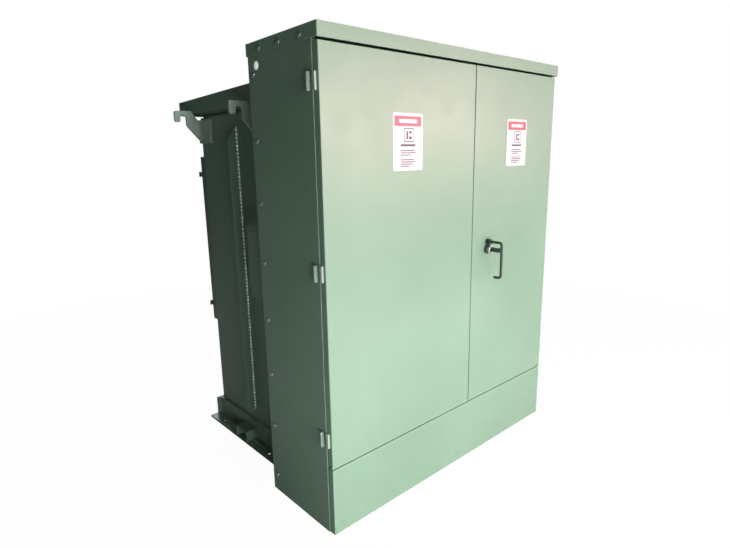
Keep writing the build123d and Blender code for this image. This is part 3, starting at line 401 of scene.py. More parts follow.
def span(tree, value, low, high, to_low=0.0, to_high=1.0):
    """Maps a value from one range to another, and stops at the ends."""
    ends = {"From Min": low, "From Max": high, "To Min": to_low, "To Max": to_high}
    return add(tree, "ShaderNodeMapRange", [("Value", value)], **ends).outputs["Result"]


def blend_colour(tree, factor, first, second, mode="MIX"):
    """Mixes two colours, each a socket or a tuple, by a factor that is a socket or a number."""
    made = add(tree, "ShaderNodeMix", data_type="RGBA", blend_type=mode)
    for socket, value in ((made.inputs[0], factor), (made.inputs[6], first), (made.inputs[7], second)):
        if isinstance(value, bpy.types.NodeSocket):
            tree.links.new(value, socket)
        elif socket == made.inputs[0]:
            socket.default_value = value
        else:
            socket.default_value = (*value, 1)
    return made.outputs[2]


def calculate(tree, operation, first, second=0.0):
    """One step of arithmetic on sockets or numbers."""
    made = add(tree, "ShaderNodeMath", operation=operation)
    for socket, value in zip(made.inputs, (first, second)):
        if isinstance(value, bpy.types.NodeSocket):
            tree.links.new(value, socket)
        else:
            socket.default_value = value
    return made.outputs[0]


def bump(tree, shader, height, strength, distance):
    """Bump from a height, on top of any bump that is there."""
    made = add(tree, "ShaderNodeBump", [("Height", height)], Strength=strength, Distance=distance)
    earlier = shader.inputs["Normal"].links
    if earlier:
        tree.links.new(earlier[0].from_socket, made.inputs["Normal"])
    tree.links.new(made.outputs["Normal"], shader.inputs["Normal"])


def along(tree, axis):
    """Distance along one axis of the frame, in metres."""
    coordinate = add(tree, "ShaderNodeTexCoord")
    return add(tree, "ShaderNodeSeparateXYZ", [("Vector", coordinate.outputs["Object"])]).outputs[axis]


def coat(tree, shader, colour, roughness):
    """Links a colour and a roughness to the shader."""
    tree.links.new(colour, shader.inputs["Base Color"])
    tree.links.new(roughness, shader.inputs["Roughness"])


def lighter(colour, share):
    """The colour, moved towards white by a share."""
    return tuple(c + (1 - c) * share for c in colour)


def darker(colour, share):
    """The colour, moved towards black by a share."""
    return tuple(c * (1 - share) for c in colour)


def enamel(name, colour, settings, peel_scale=260.0):
    """Sprayed enamel: slow drift of tone, faint streaks, dust near the pad and an orange-peel bump."""
    material, tree, shader = start_material(name, ior=1.5)
    drift = noise(tree, place(tree), 2.2, 4)
    streak = noise(tree, place(tree, (9, 9, 0.7)), 3.0, 3)
    tone = ramp(tree, drift, [(0.3, darker(colour, 0.07)), (0.7, lighter(colour, 0.012))])
    tone = blend_colour(tree, span(tree, streak, 0.45, 0.75, 0, 0.22), tone, darker(colour, 0.10))
    low = span(tree, along(tree, "Z"), 0.0, DUST_REACH, 1, 0)
    speck = span(tree, noise(tree, place(tree), 34, 5), 0.42, 0.62)
    dust = calculate(tree, "MULTIPLY", calculate(tree, "MULTIPLY", low, speck), settings.dust)
    tone = blend_colour(tree, dust, tone, DUST_COLOUR)
    dull = span(tree, noise(tree, place(tree), 11, 4), 0.3, 0.7, settings.roughness - 0.03, settings.roughness + 0.05)
    coat(tree, shader, tone, dull)
    bump(tree, shader, noise(tree, place(tree), peel_scale, 1.5), settings.peel, 0.0006)
    return material


def zinc(name, colour=(0.72, 0.73, 0.73)):
    """Zinc plate: crystal patches of slightly different tone and shine."""
    material, tree, shader = start_material(name, metallic=1.0)
    cells = add(tree, "ShaderNodeTexVoronoi", [("Vector", place(tree))], Scale=CRYSTALS)
    grey = add(tree, "ShaderNodeSeparateColor", [("Color", cells.outputs["Color"])]).outputs[0]
    coat(tree, shader, ramp(tree, grey, [(0, darker(colour, 0.16)), (1, colour)]), span(tree, grey, 0, 1, 0.24, 0.40))
    bump(tree, shader, noise(tree, place(tree), 420, 2), 0.08, 0.0004)
    return material


def brushed(name, colour, stretch=(1, 1, 0.04), roughness=0.28):
    """Brushed metal: fine lines drawn out along one axis."""
    material, tree, shader = start_material(name, metallic=1.0)
    lines = noise(tree, place(tree, stretch), FINE_LINES, 3)
    patch = noise(tree, place(tree), 24, 3)
    tone = ramp(tree, lines, [(0.3, darker(colour, 0.13)), (0.7, colour)])
    tone = blend_colour(tree, span(tree, patch, 0.4, 0.7, 0, 0.3), tone, darker(colour, 0.2))
    coat(tree, shader, tone, span(tree, lines, 0.3, 0.7, roughness - 0.05, roughness + 0.10))
    bump(tree, shader, lines, 0.05, 0.0003)
    return material


def cast_metal(name, colour, roughness=0.42, scale=260):
    """Cast metal: pitted skin with darker hollows."""
    material, tree, shader = start_material(name, metallic=1.0)
    skin = noise(tree, place(tree), scale, 5, 0.65)
    tone = ramp(tree, skin, [(0.32, darker(colour, 0.45)), (0.62, colour)])
    coat(tree, shader, tone, span(tree, skin, 0.3, 0.7, roughness + 0.15, roughness - 0.05))
    bump(tree, shader, skin, 0.25, 0.0006)
    return material


def moulded(name, colour, roughness=0.45, speckle=0.10, scale=300):
    """Moulded plastic, rubber or epoxy: fine speckle, a soft drift of tone and a pebbled skin."""
    material, tree, shader = start_material(name, ior=1.48)
    grain = noise(tree, place(tree), scale, 3)
    drift = noise(tree, place(tree), 9, 3)
    tone = ramp(tree, grain, [(0.35, darker(colour, speckle)), (0.65, lighter(colour, speckle * 0.25))])
    tone = blend_colour(tree, span(tree, drift, 0.35, 0.7, 0, 0.25), tone, darker(colour, 0.18))
    coat(tree, shader, tone, span(tree, drift, 0.3, 0.7, roughness - 0.05, roughness + 0.07))
    bump(tree, shader, grain, 0.10, 0.0004)
    return material


def layered(name, colour, axis, pitch, dark=0.5, metallic=0.0, roughness=0.5):
    """Stacked sheets or wound turns: dark lines at a pitch along one axis, with a broken tone between them."""
    material, tree, shader = start_material(name, metallic=metallic)
    wave = calculate(tree, "SINE", calculate(tree, "MULTIPLY", along(tree, axis), 2 * np.pi / pitch))
    grain = noise(tree, place(tree), 90, 4)
    stops = [(0.0, darker(colour, dark)), (0.45, colour), (1.0, lighter(colour, 0.10))]
    tone = ramp(tree, span(tree, wave, -1, 1), stops)
    tone = blend_colour(tree, span(tree, grain, 0.35, 0.7, 0, 0.35), tone, darker(colour, 0.3))
    coat(tree, shader, tone, span(tree, grain, 0.3, 0.7, roughness - 0.06, roughness + 0.08))
    bump(tree, shader, wave, 0.5, pitch / 12)
    return material


def printed(name, colour, roughness=0.42):
    """Printed or painted vinyl: even ink with a faint mottle and a slight wave in the film."""
    material, tree, shader = start_material(name, ior=1.46)
    mottle = noise(tree, place(tree), 70, 4)
    tone = ramp(tree, mottle, [(0.3, darker(colour, 0.05)), (0.7, colour)])
    coat(tree, shader, tone, span(tree, mottle, 0.3, 0.7, roughness - 0.04, roughness + 0.06))
    bump(tree, shader, noise(tree, place(tree), 18, 2), 0.03, 0.0006)
    return material


def glowing_film(name, colour):
    """White film with fine glass beads, and a faint emission: painted glow that keeps the tag bright in the side's
    shade.
    """
    material, tree, shader = start_material(name, ior=1.5)
    beads = add(tree, "ShaderNodeTexVoronoi", [("Vector", place(tree))], Scale=FILM_BEADS)
    tone = ramp(tree, beads.outputs["Distance"], [(0.0, colour), (0.8, darker(colour, 0.12))])
    coat(tree, shader, tone, span(tree, beads.outputs["Distance"], 0, 1, 0.25, 0.4))
    # Painted glow: the tag shines though it is no lamp
    tree.links.new(tone, shader.inputs["Emission Color"])
    shader.inputs["Emission Strength"].default_value = PAINTED_FILM_GLOW
    return material


def hinge_finish(name, green):
    """Stainless on the knuckles and along the strap's front edge, and paint on the flat leaves between."""
    material, tree, shader = start_material(name)
    depth = along(tree, "Y")
    from_pin = calculate(tree, "ABSOLUTE", calculate(tree, "SUBTRACT", depth, HINGE_Y))
    bare = calculate(tree, "LESS_THAN", from_pin, KNUCKLE_REACH)
    bare = calculate(tree, "MAXIMUM", bare, calculate(tree, "LESS_THAN", depth, STRAP_EDGE))
    lines = noise(tree, place(tree, (1, 1, 0.04)), FINE_LINES, 3)
    metal = ramp(tree, lines, [(0.3, HINGE_BRIGHT[0]), (0.7, HINGE_BRIGHT[1])])
    paint = ramp(tree, lines, [(0.3, darker(green, 0.1)), (0.7, green)])
    coat(tree, shader, blend_colour(tree, bare, paint, metal), span(tree, bare, 0, 1, 0.38, 0.26))
    tree.links.new(calculate(tree, "MULTIPLY", bare, 0.55), shader.inputs["Metallic"])
    bump(tree, shader, lines, 0.05, 0.0003)
    return material


def make_materials():
    """Every finish of the transformer, by name."""
    paint = bpy.context.scene.transformer_paint
    labels = bpy.context.scene.transformer_labels
    green = tuple(paint.green)
    recipes = {
        "painted_green": (enamel, green, paint),
        # Hook enamel: the tank green lightened, which is painted light standing in for the lit hook plates
        "hook_paint": (enamel, lighter(green, 0.15), paint, 200.0),
        "weld_paint": (enamel, lighter(green, 0.02), paint, 420.0),
        # One zinc plate in two tones, as painted light and shade: dimmed for the strongly lit front fittings, brighter
        # for the cabinet bolts and washers in the side's shade
        "zinc": (zinc, (0.34, 0.35, 0.35)),
        "bright_zinc": (zinc,),
        "stainless": (brushed, (0.33, 0.34, 0.34)),
        "steel": (cast_metal, (0.42, 0.43, 0.44), 0.40, 120),
        "core_steel": (layered, (0.36, 0.38, 0.41), "Z", 0.003, 0.45, 1.0, 0.36),
        "copper": (layered, (0.44, 0.27, 0.13), "Z", 0.009, 0.55, 0.0, 0.7),
        "gasket": (moulded, (0.045, 0.035, 0.028), 0.85, 0.5, 160),
        "epoxy": (moulded, (0.030, 0.031, 0.034), 0.42, 0.2),
        "epoxy_brown": (moulded, (0.17, 0.055, 0.030), 0.20, 0.15, 180),
        "label": (printed, (0.37, 0.36, 0.39), 0.34),
        "tinned": (brushed, (0.38, 0.38, 0.37), (1, 0.05, 1), 0.36),
        "bronze": (cast_metal, (0.58, 0.40, 0.17), 0.36, 220),
        "needle": (printed, (0.75, 0.12, 0.02), 0.4),
        "fibre": (layered, (0.42, 0.055, 0.035), "Y", 0.0022, 0.25, 0.0, 0.38),
        "seal_rubber": (moulded, (0.022, 0.022, 0.023), 0.7, 0.3, 500),
        "label_band": (printed, tuple(labels.band), 0.34),
        "label_ink": (printed, tuple(labels.ink), 0.5),
        "dial_face": (printed, (0.36, 0.37, 0.35), 0.3),
        "dial_ink": (printed, (0.02, 0.02, 0.022), 0.4),
        # The round tag: a brighter white than the door labels, with a painted glow, for its place in the side's shade
        "tag_white": (glowing_film, (0.9, 0.9, 0.9)),
        # Slightly lighter enamel on the side sheets' rolled front edges: painted highlight of the lit edge
        "edge_paint": (enamel, lighter(green, 0.03), paint, 300.0),
        "handle_paint": (enamel, darker(green, 0.82), paint, 300.0),
        # Near-white bead: painted highlight standing in for the lit stitch weld before the rib
        "weld_bright": (printed, (0.93, 0.95, 0.93), 0.22),
        "hinge_metal": (hinge_finish, green),
        "polished": (brushed, (0.86, 0.87, 0.86), (1, 0.2, 1), 0.16),
        "etched": (brushed, (0.07, 0.07, 0.068), (0.05, 1, 1), 0.5),
    }
    return {name: make(name, *values) for name, (make, *values) in recipes.items()}


FINISH = {}


class PaintFrame(bpy.types.Operator):
    """Gives every node of the frame its finish"""

    bl_idname = "transformer.paint_frame"
    bl_label = "Finishes of the frame"

    def execute(self, context):
        FINISH.clear()
        FINISH.update(make_materials())
        for node, made in NODES.items():
            made.data.materials.clear()
            finish = NODE_FINISH.get(node, SLOT[node])
            made.data.materials.append(FINISH[finish])
        return {"FINISHED"}


# Welds ------------
# Lengths that the welds stop short, in metres, and shares of a weld's leg
WELD_INSET = 0.004
HOOK_WELD_STOP = 0.05
BOX_WELD_HEIGHT = 0.305
BAND_FRONT_GAP = 0.01
BAND_REAR_GAP = 0.002
RIPPLE_STEPS = 6
LEAST_STEPS = 8
TIP_LEGS = 1.5
TIP_SIZE = 0.05
BEAD_SIDES = 7
BEAD_FLAT = 0.78
BEAD_BULGE = 0.16
BEAD_SINK = -0.06
# Leg, ripple pitch and ripple depth of the coarse weld before the ribs
STITCH = (0.0075, 0.017, 0.8)


def bead(start, end, side_a, side_b, leg, pitch, depth):
    """Fillet weld along a line: a quarter-round section of two legs, whose size swells and shrinks as a cosine of
    the distance with the ripple pitch, and whose ends are rounded off by a half ellipse."""
    start, end = np.asarray(start, float), np.asarray(end, float)
    length = np.linalg.norm(end - start)
    steps = max(int(length / pitch * RIPPLE_STEPS), LEAST_STEPS)
    s = np.linspace(0, length, steps + 1)
    tip = np.clip(np.minimum(s, length - s) / (TIP_LEGS * leg), 0, 1)
    size = (1 - depth * (0.5 + 0.5 * np.cos(2 * np.pi * s / pitch))) * np.sqrt(1 - (1 - tip) ** 2)
    size = np.maximum(size, TIP_SIZE)
    angle = np.linspace(0, np.pi / 2, BEAD_SIDES)
    bulge = BEAD_FLAT + BEAD_BULGE * np.sin(2 * angle)
    edge = np.stack([np.cos(angle) * bulge, np.sin(angle) * bulge], 1)
    edge[0], edge[-1] = (1.0, BEAD_SINK), (BEAD_SINK, 1.0)
    section = np.concatenate([edge, [(BEAD_SINK, BEAD_SINK)]]) * leg
    path = start + np.outer(s / length, end - start)
    return carried(path, size[:, None, None] * section[None], np.asarray(side_a, float), np.asarray(side_b, float))


def welds(name, lines, leg, pitch, depth, finish="weld_paint", both=True):
    """One piece from weld lines, each a start, an end and the two directions in which its legs lie, and from their
    images in the plane x = 0."""
    surface = together([bead(*line, leg, pitch, depth) for line in lines])
    piece(name, mirrored(surface) if both else surface, finish)


class WeldTank(bpy.types.Operator):
    """Fillet welds of the stiffeners, lifting hooks, side box, foot band and base"""

    bl_idname = "transformer.weld_tank"
    bl_label = "Tank welds"

    def execute(self, context):
        settings = context.scene.transformer_welds
        sizes = settings.leg, settings.ripple, settings.ripple_depth
        wall = corners("tank_shell")[0][0]
        rib_low, rib_high = corners("tank_stiffeners")
        ends = rib_low[2] + WELD_INSET, rib_high[2] - WELD_INSET
        rear = [((wall, rib_high[1], ends[0]), (wall, rib_high[1], ends[1]), -X, Y)]
        welds("rib_rear_welds", rear, *sizes)
        front = [((wall, rib_low[1], ends[0]), (wall, rib_low[1], ends[1]), -X, -Y)]
        # The front rib weld gets a near-white finish: painted highlight of its lit stitches
        welds("rib_front_welds", front, *STITCH, finish="weld_bright")

        hooks = []
        for low, high in loose_boxes("lifting_hooks"):
            if low[0] < 0 and high[0] < wall + MM:
                bottom, top = low[2] + WELD_INSET, high[2] - HOOK_WELD_STOP
                hooks += [((wall, y, bottom), (wall, y, top), -X, way) for y, way in ((low[1], -Y), (high[1], Y))]
        welds("hook_welds", hooks, *sizes)

        low, high = corners("side_box")
        bottom, top = low[2] + WELD_INSET, low[2] + BOX_WELD_HEIGHT
        front, back = low[1] + WELD_INSET, high[1] - WELD_INSET
        box = [
            ((wall, low[1], bottom), (wall, low[1], top), -X, -Y),
            ((wall, high[1], bottom), (wall, high[1], top), -X, Y),
            ((wall, front, low[2]), (wall, back, low[2]), -X, -Z),
        ]
        welds("side_box_welds", box, *sizes, both=False)

        (edge, front, _), (_, back, band_top) = corners("base_band")
        ledge = corners("base_plate")[1][2]
        start = front + BAND_FRONT_GAP
        base = [
            ((edge, start, ledge), (edge, back - BAND_REAR_GAP, ledge), -X, Z),
            ((wall, start, band_top), (wall, back - BAND_FRONT_GAP, band_top), -X, Z),
        ]
        welds("base_welds", base, *sizes)
        inner = edge + WELD_INSET
        welds("rear_base_weld", [((inner, back, ledge), (-inner, back, ledge), Y, Z)], *sizes, both=False)
        return {"FINISHED"}


# Bolts, washers and flanges ------------
# Shares of a bolt's width across its flats
WASHER_THICKNESS = 0.14
WASHER_INNER = 0.2
WASHER_OUTER = 0.68
HEAD_EDGE = 0.02
# Shares of the washer's thickness: its bevel, and where the head stands
WASHER_LIP = 0.25
HEAD_SEAT = 0.9
# Chamfer's fall as a share of its width, the top's rings as shares of its radius, and the crown of the height
HEAD_CHAMFER = 0.55
HEAD_FLAT = 0.98
HEAD_DISH = 0.55
HEAD_CROWN = 1.02
# Inner radius, outer radius and thickness
CABINET_WASHER = (0.0087, 0.0118, 0.0014)
# Circle radius, number of bolts, size across flats, head height and angle of the first bolt
WELL_BOLTS = (0.0365, 4, 0.0078, 0.0035, np.pi / 4)
LOW_BOLTS = (0.0418, 4, 0.0068, 0.003, np.pi / 4)
FUSE_BOLTS = (0.029, 3, 0.0062, 0.003, np.pi / 2)


def washer(centre, direction, inner, outer, thickness):
    """Flat ring turned about the bolt, whose outer edges are bevelled by a share of the thickness."""
    lip = thickness * WASHER_LIP
    profile = [
        (inner, 0), (outer - lip, 0), (outer, lip), (outer, thickness - lip), (outer - lip, thickness),
        (inner, thickness), (inner, 0),
    ]
    return turned(profile, centre, direction, HEAD_SIDES)


def hex_head(centre, direction, across, height):
    """Hexagon head: the reach of a side at an angle is half the width divided by the cosine of the angle from the
    middle of its flat, and the top falls by a share of what the reach is more than half the width."""
    axis = np.asarray(direction, float)
    u, v = cross_directions(axis, X if abs(axis[0]) < 0.9 else Y)
    angle = np.linspace(0, 2 * np.pi, HEAD_SIDES, endpoint=False)
    flat = (angle + np.pi / 6) % (np.pi / 3) - np.pi / 6
    reach = across / 2 / np.cos(flat)
    top = np.minimum(reach, across / 2)
    fall = (reach - across / 2) * HEAD_CHAMFER
    crown = height * HEAD_CROWN
    levels = (
        (reach * 0, 0), (reach, 0), (reach, height - fall - across * HEAD_EDGE), (top * HEAD_FLAT, height),
        (top * HEAD_DISH, crown), (reach * 0, crown),
    )
    rings = []
    for radius, level in levels:
        ring = radius[:, None] * (np.cos(angle)[:, None] * u + np.sin(angle)[:, None] * v)
        rings.append(np.asarray(centre) + ring + np.broadcast_to(level, HEAD_SIDES)[:, None] * axis)
    points = np.concatenate(rings)
    return points, outward(points, grid_faces(len(levels), HEAD_SIDES, wrap_columns=True))


def bolt(centre, direction, across, height):
    """Washer and hexagon head standing on a face."""
    centre, direction = np.asarray(centre, float), np.asarray(direction, float)
    thickness = across * WASHER_THICKNESS
    ring = washer(centre, direction, across * WASHER_INNER, across * WASHER_OUTER, thickness)
    return [ring, hex_head(centre + direction * thickness * HEAD_SEAT, direction, across, height)]


def ring_of_bolts(centre, direction, radius, count, across, height, first=0.0):
    """Bolts spaced evenly on a circle."""
    centre, direction = np.asarray(centre, float), np.asarray(direction, float)
    u, v = cross_directions(direction, Z)
    made = []
    for turn in first + np.arange(count) * 2 * np.pi / count:
        made += bolt(centre + radius * (np.cos(turn) * u + np.sin(turn) * v), direction, across, height)
    return made


class FitFlangeBolts(bpy.types.Operator):
    """Hexagon bolts round the bushing wells, bushings and fuse housings, and washers on the cabinet"""

    bl_idname = "transformer.fit_flange_bolts"
    bl_label = "Flange bolts and washers"

    def execute(self, context):
        wall = corners("tank_shell")[0][1]
        wells = [mount["pos_m"] for name, mount in MOUNTS.items() if name.startswith("hv_well_")]
        for name, places, flange, sizes in (
            ("well", wells, WELL_FLANGE, WELL_BOLTS),
            ("bushing", middles("lv_spades"), LOW_FLANGE, LOW_BOLTS),
            ("fuse", middles("fuse_housings"), WELL_FLANGE, FUSE_BOLTS),
        ):
            surfaces = []
            for place in places:
                surfaces += ring_of_bolts((place[0], wall - flange, place[2]), -Y, *sizes)
            piece(f"{name}_flange_bolts", together(surfaces), "zinc", smooth=False)

        surfaces = []
        for low, high in loose_boxes("cabinet_bolts"):
            side = np.sign(low[0])
            root = side * (max(abs(low[0]), abs(high[0])) - BOLT_HEAD)
            centre = (root, (low[1] + high[1]) / 2, (low[2] + high[2]) / 2)
            surfaces.append(washer(centre, side * X, *CABINET_WASHER))
        # The washers sit in the side's shade and take the zinc brightened as painted light
        piece("cabinet_washers", together(surfaces), "bright_zinc")
        return {"FINISHED"}


# Labels ------------
def prints(low, high, rows, height):
    """Thin boxes on the front of a label: each row gives left, right, top and bottom as shares of the label."""
    rows = np.asarray(rows, float)
    width, tall = high[0] - low[0], high[2] - low[2]
    front = np.full(len(rows), low[1])
    lows = np.stack([low[0] + rows[:, 0] * width, front - height, high[2] - rows[:, 3] * tall], 1)
    highs = np.stack([low[0] + rows[:, 1] * width, front, high[2] - rows[:, 2] * tall], 1)
    return boxes(lows, highs)


# Rows of print: left, right, top and bottom as shares of the label, with the top counted downwards
BAND_ROWS = [(0.05, 0.95, 0.05, 0.225)]
BAND_BAR_ROWS = [(0.20, 0.80, 0.105, 0.17)]
PICTURE_ROWS = [
    (0.36, 0.70, 0.255, 0.272), (0.36, 0.70, 0.48, 0.497),
    (0.36, 0.378, 0.255, 0.497), (0.682, 0.70, 0.255, 0.497),
    (0.44, 0.50, 0.31, 0.45), (0.53, 0.62, 0.31, 0.35), (0.53, 0.62, 0.40, 0.45),
]
TITLE_ROWS = [(0.25, 0.75, 0.535, 0.575)]
BODY_ROWS = [
    (0.25, 0.72, 0.640, 0.658), (0.25, 0.76, 0.678, 0.696), (0.25, 0.60, 0.716, 0.734),
    (0.25, 0.70, 0.800, 0.818), (0.25, 0.75, 0.838, 0.856), (0.25, 0.67, 0.876, 0.894),
    (0.25, 0.55, 0.914, 0.932),
]
TAG_EDGE = 0.0005
TAG_THICKNESS = 0.0008
TAG_BEVEL = 0.0004
TAG_RING = (0.80, 0.86)
TAG_RING_HEIGHTS = (0.0007, 0.001)


class PrintLabels(bpy.types.Operator):
    """Plain band, figure and bars on both door labels, and the round tag on the side"""

    bl_idname = "transformer.print_labels"
    bl_label = "Labels and tag"

    def execute(self, context):
        settings = context.scene.transformer_labels
        height = settings.print_height
        for door in ("hv", "lv"):
            low, high = corners(f"{door}_door_label")
            for part, front, rows, finish in (
                ("band", low, BAND_ROWS, "label_band"),
                ("band_bar", low - (0, height, 0), BAND_BAR_ROWS, "label"),
                ("print", low, PICTURE_ROWS + TITLE_ROWS + BODY_ROWS, "label_ink"),
            ):
                surface = prints(front, high, rows, height)
                piece(f"{door}_label_{part}", surface, finish, f"{door}_door", smooth=False)
        wall = corners("cabinet_side_left")[0][0]
        radius = settings.tag_radius
        centre = np.array((wall, TAG_Y, settings.tag_height))
        disc = [
            (0, 0), (radius, 0), (radius, TAG_EDGE), (radius - TAG_BEVEL, TAG_THICKNESS), (0, TAG_THICKNESS),
        ]
        piece("round_tag", turned(disc, centre, -X), "tag_white")
        (inner, outer), (under, over) = (radius * share for share in TAG_RING), TAG_RING_HEIGHTS
        ring = [(inner, under), (outer, under), (outer, over), (inner, over), (inner, under)]
        piece("round_tag_ring", turned(ring, centre, -X), "label_ink")
        return {"FINISHED"}


# Nameplate and gauges ------------
PLATE_ROWS = [
    (0.04, 0.96, 0.05, 0.065), (0.04, 0.96, 0.935, 0.95), (0.04, 0.05, 0.05, 0.95), (0.95, 0.96, 0.05, 0.95),
    (0.10, 0.90, 0.12, 0.18),
]
PLATE_TABLE = [(0.58, 0.90, 0.26, 0.27), (0.58, 0.90, 0.50, 0.51), (0.58, 0.59, 0.26, 0.51), (0.89, 0.90, 0.26, 0.51)]
PLATE_LINE_WIDTHS = (0.40, 0.36, 0.42, 0.30, 0.80, 0.74, 0.78, 0.60, 0.70)
PLATE_LINE_LEFT = 0.10
PLATE_LINE_TOPS = np.arange(0.26, 0.86, 0.07)
PLATE_LINE_HEIGHT = 0.018
ETCH_HEIGHT = 0.0002
RIVET_RADIUS = 0.0032
RIVET_HEIGHT = 0.0016
RIVET_INSET = 0.005


class MarkNameplate(bpy.types.Operator):
    """Plain frame, rows and rivets of the nameplate"""

    bl_idname = "transformer.mark_nameplate"
    bl_label = "Nameplate"

    def execute(self, context):
        low, high = corners("nameplate")
        left = PLATE_LINE_LEFT
        lines = [
            (left, left + width, top, top + PLATE_LINE_HEIGHT)
            for top, width in zip(PLATE_LINE_TOPS, PLATE_LINE_WIDTHS)
        ]
        rows = prints(low, high, PLATE_ROWS + lines + PLATE_TABLE, ETCH_HEIGHT)
        piece("nameplate_rows", rows, "etched", smooth=False)
        quarter = np.linspace(0, np.pi / 2, 6)[1:]
        dome = [(0, 0), (RIVET_RADIUS, 0)]
        dome += [(RIVET_RADIUS * np.cos(a), RIVET_HEIGHT * np.sin(a)) for a in quarter]
        rivets = [
            turned(dome, (x, low[1], z), -Y, RIVET_SIDES)
            for x in (low[0] + RIVET_INSET, high[0] - RIVET_INSET)
            for z in (low[2] + RIVET_INSET, high[2] - RIVET_INSET)
        ]
        piece("nameplate_rivets", together(rivets), "zinc")
        return {"FINISHED"}


def ticks(centre, angles, inner, outer, width, lift):
    """Thin radial bars on a dial. Each is a box along the radius, turned about the dial's middle by its angle: x is
    x cos + z sin, and z is z cos - x sin."""
    angles = np.asarray(angles, float)
    points, faces = boxes([(-width / 2, -lift, inner)], [(width / 2, 0, outer)])
    cos, sin = np.cos(angles)[:, None], np.sin(angles)[:, None]
    x = points[None, :, 0] * cos + points[None, :, 2] * sin
    z = points[None, :, 2] * cos - points[None, :, 0] * sin
    y = np.broadcast_to(points[None, :, 1], x.shape)
    placed = np.stack([x, y, z], -1).reshape(-1, 3) + centre
    return placed, repeated(faces, len(points), len(angles))


# Name, needle's reach to each side in degrees, number of ticks, and how many ticks to a long one
GAUGES = (("level", 60, 13, 3), ("temperature", 130, 27, 4))
DIAL_RADIUS = 0.0408
DIAL_FRONT = 0.0001
DIAL_BACK = -0.0002
# Inner radius, outer radius, width and height of a tick
TICK = (0.0350, 0.0385, 0.0008, 0.0002)
LONG_TICK = (0.0325, 0.0385, 0.0015, 0.0002)
RIM_PROFILE = [
    (0.0412, 0), (0.0436, 0), (0.0446, 0.0006), (0.0436, 0.0014), (0.0420, 0.0014), (0.0412, 0.0006), (0.0412, 0),
]


class MarkGauges(bpy.types.Operator):
    """Dial faces, scales and rims of the level and temperature gauges"""

    bl_idname = "transformer.mark_gauges"
    bl_label = "Gauges"

    def execute(self, context):
        front = corners("gauge_bodies")[0][1]
        dial = [(0, DIAL_BACK), (DIAL_RADIUS, DIAL_BACK), (DIAL_RADIUS, DIAL_FRONT), (0, DIAL_FRONT)]
        for name, reach, count, step in GAUGES:
            low, high = corners(f"{name}_needle")
            centre = np.array(((low[0] + high[0]) / 2, front + DIAL_DEPTH + DIAL_BACK, GAUGE_Z))
            piece(f"{name}_dial", turned(dial, centre, -Y), "dial_face")
            angles = np.radians(np.linspace(-reach, reach, count))
            face = centre - (0, DIAL_FRONT, 0)
            marks = together([ticks(face, angles, *TICK), ticks(face, angles[::step], *LONG_TICK)])
            piece(f"{name}_scale", marks, "dial_ink", smooth=False)
            ring = turned(RIM_PROFILE, (centre[0], front, centre[2]), -Y)
            piece(f"{name}_rim", ring, "stainless")
        return {"FINISHED"}


# Seals, handle and fins ------------
SEAL_INSET = np.array((0.011, 0, 0.011))
SEAL_WIDTH = 0.007
SEAL_DEPTH = 0.005
SEAL_LIP = 0.25
SEAL_CORNER = 0.012
SEAL_STEPS = 9
COLLAR_GAP = 0.0006
COLLAR_PROFILE = [
    (0.0126, 0), (0.0170, 0), (0.0178, 0.0008), (0.0178, 0.0060), (0.0150, 0.0105), (0.0126, 0.0110), (0.0126, 0),
]
EDGE_RADIUS = 0.0014
EDGE_FOOT = 0.004
EDGE_STEPS = 60
FIN_LEAST_HEIGHT = 0.8
SEAM_STOP = 0.012
SEAM_STEPS = 40
SEAM_HALF = (0.0021, 0.0032)
SEAM_SWELL = 0.10
SEAM_SWELLS = 12


def circle(width, depth):
    """Closed oval section: cosine times one half-width, sine times the other."""
    angle = np.linspace(0, 2 * np.pi, TUBE_SIDES, endpoint=False)
    return np.stack([np.cos(angle) * width, np.sin(angle) * depth], 1)


def upright(x, y, z):
    """Path of points up a vertical line."""
    return np.stack([np.full(z.shape, x), np.full(z.shape, y), z], 1)


def seal_loop(low, high, y):
    """Bulb seal round a door: a D section, whose height is a share plus a sine of its angle, carried round a rounded
    rectangle, whose corners are quarter circles."""
    radius, steps = SEAL_CORNER, SEAL_STEPS
    turn = np.linspace(0, np.pi / 2, steps)
    right, left, top, bottom = high[0] - radius, low[0] + radius, high[2] - radius, low[2] + radius
    angle = (np.arange(4)[:, None] * np.pi / 2 + turn[None]).ravel()
    centre_x = np.repeat((right, left, left, right), steps)
    centre_z = np.repeat((top, top, bottom, bottom), steps)
    path = np.stack([centre_x + radius * np.cos(angle), np.full(angle.shape, y), centre_z + radius * np.sin(angle)], 1)
    away = np.stack([np.cos(angle), np.zeros(angle.shape), np.sin(angle)], 1)
    bulb = np.linspace(0, np.pi, SEAL_STEPS)
    half = SEAL_WIDTH / 2
    rise = SEAL_DEPTH * (SEAL_LIP + (1 - SEAL_LIP) * np.sin(bulb))
    section = np.concatenate([[(half, 0)], np.stack([np.cos(bulb) * half, rise], 1), [(-half, 0)]])
    return carried(path, section, away, np.broadcast_to(Y, path.shape), closed=True)


class SealDoors(bpy.types.Operator):
    """Rubber bulb seals stuck inside both doors"""

    bl_idname = "transformer.seal_doors"
    bl_label = "Door seals"

    def execute(self, context):
        for door in ("hv", "lv"):
            low, high = corners(f"{door}_door_panel")
            seal = seal_loop(low + SEAL_INSET, high - SEAL_INSET, low[1] + DOOR_SKIN)
            piece(f"{door}_door_seal", seal, "seal_rubber", f"{door}_door")
        return {"FINISHED"}


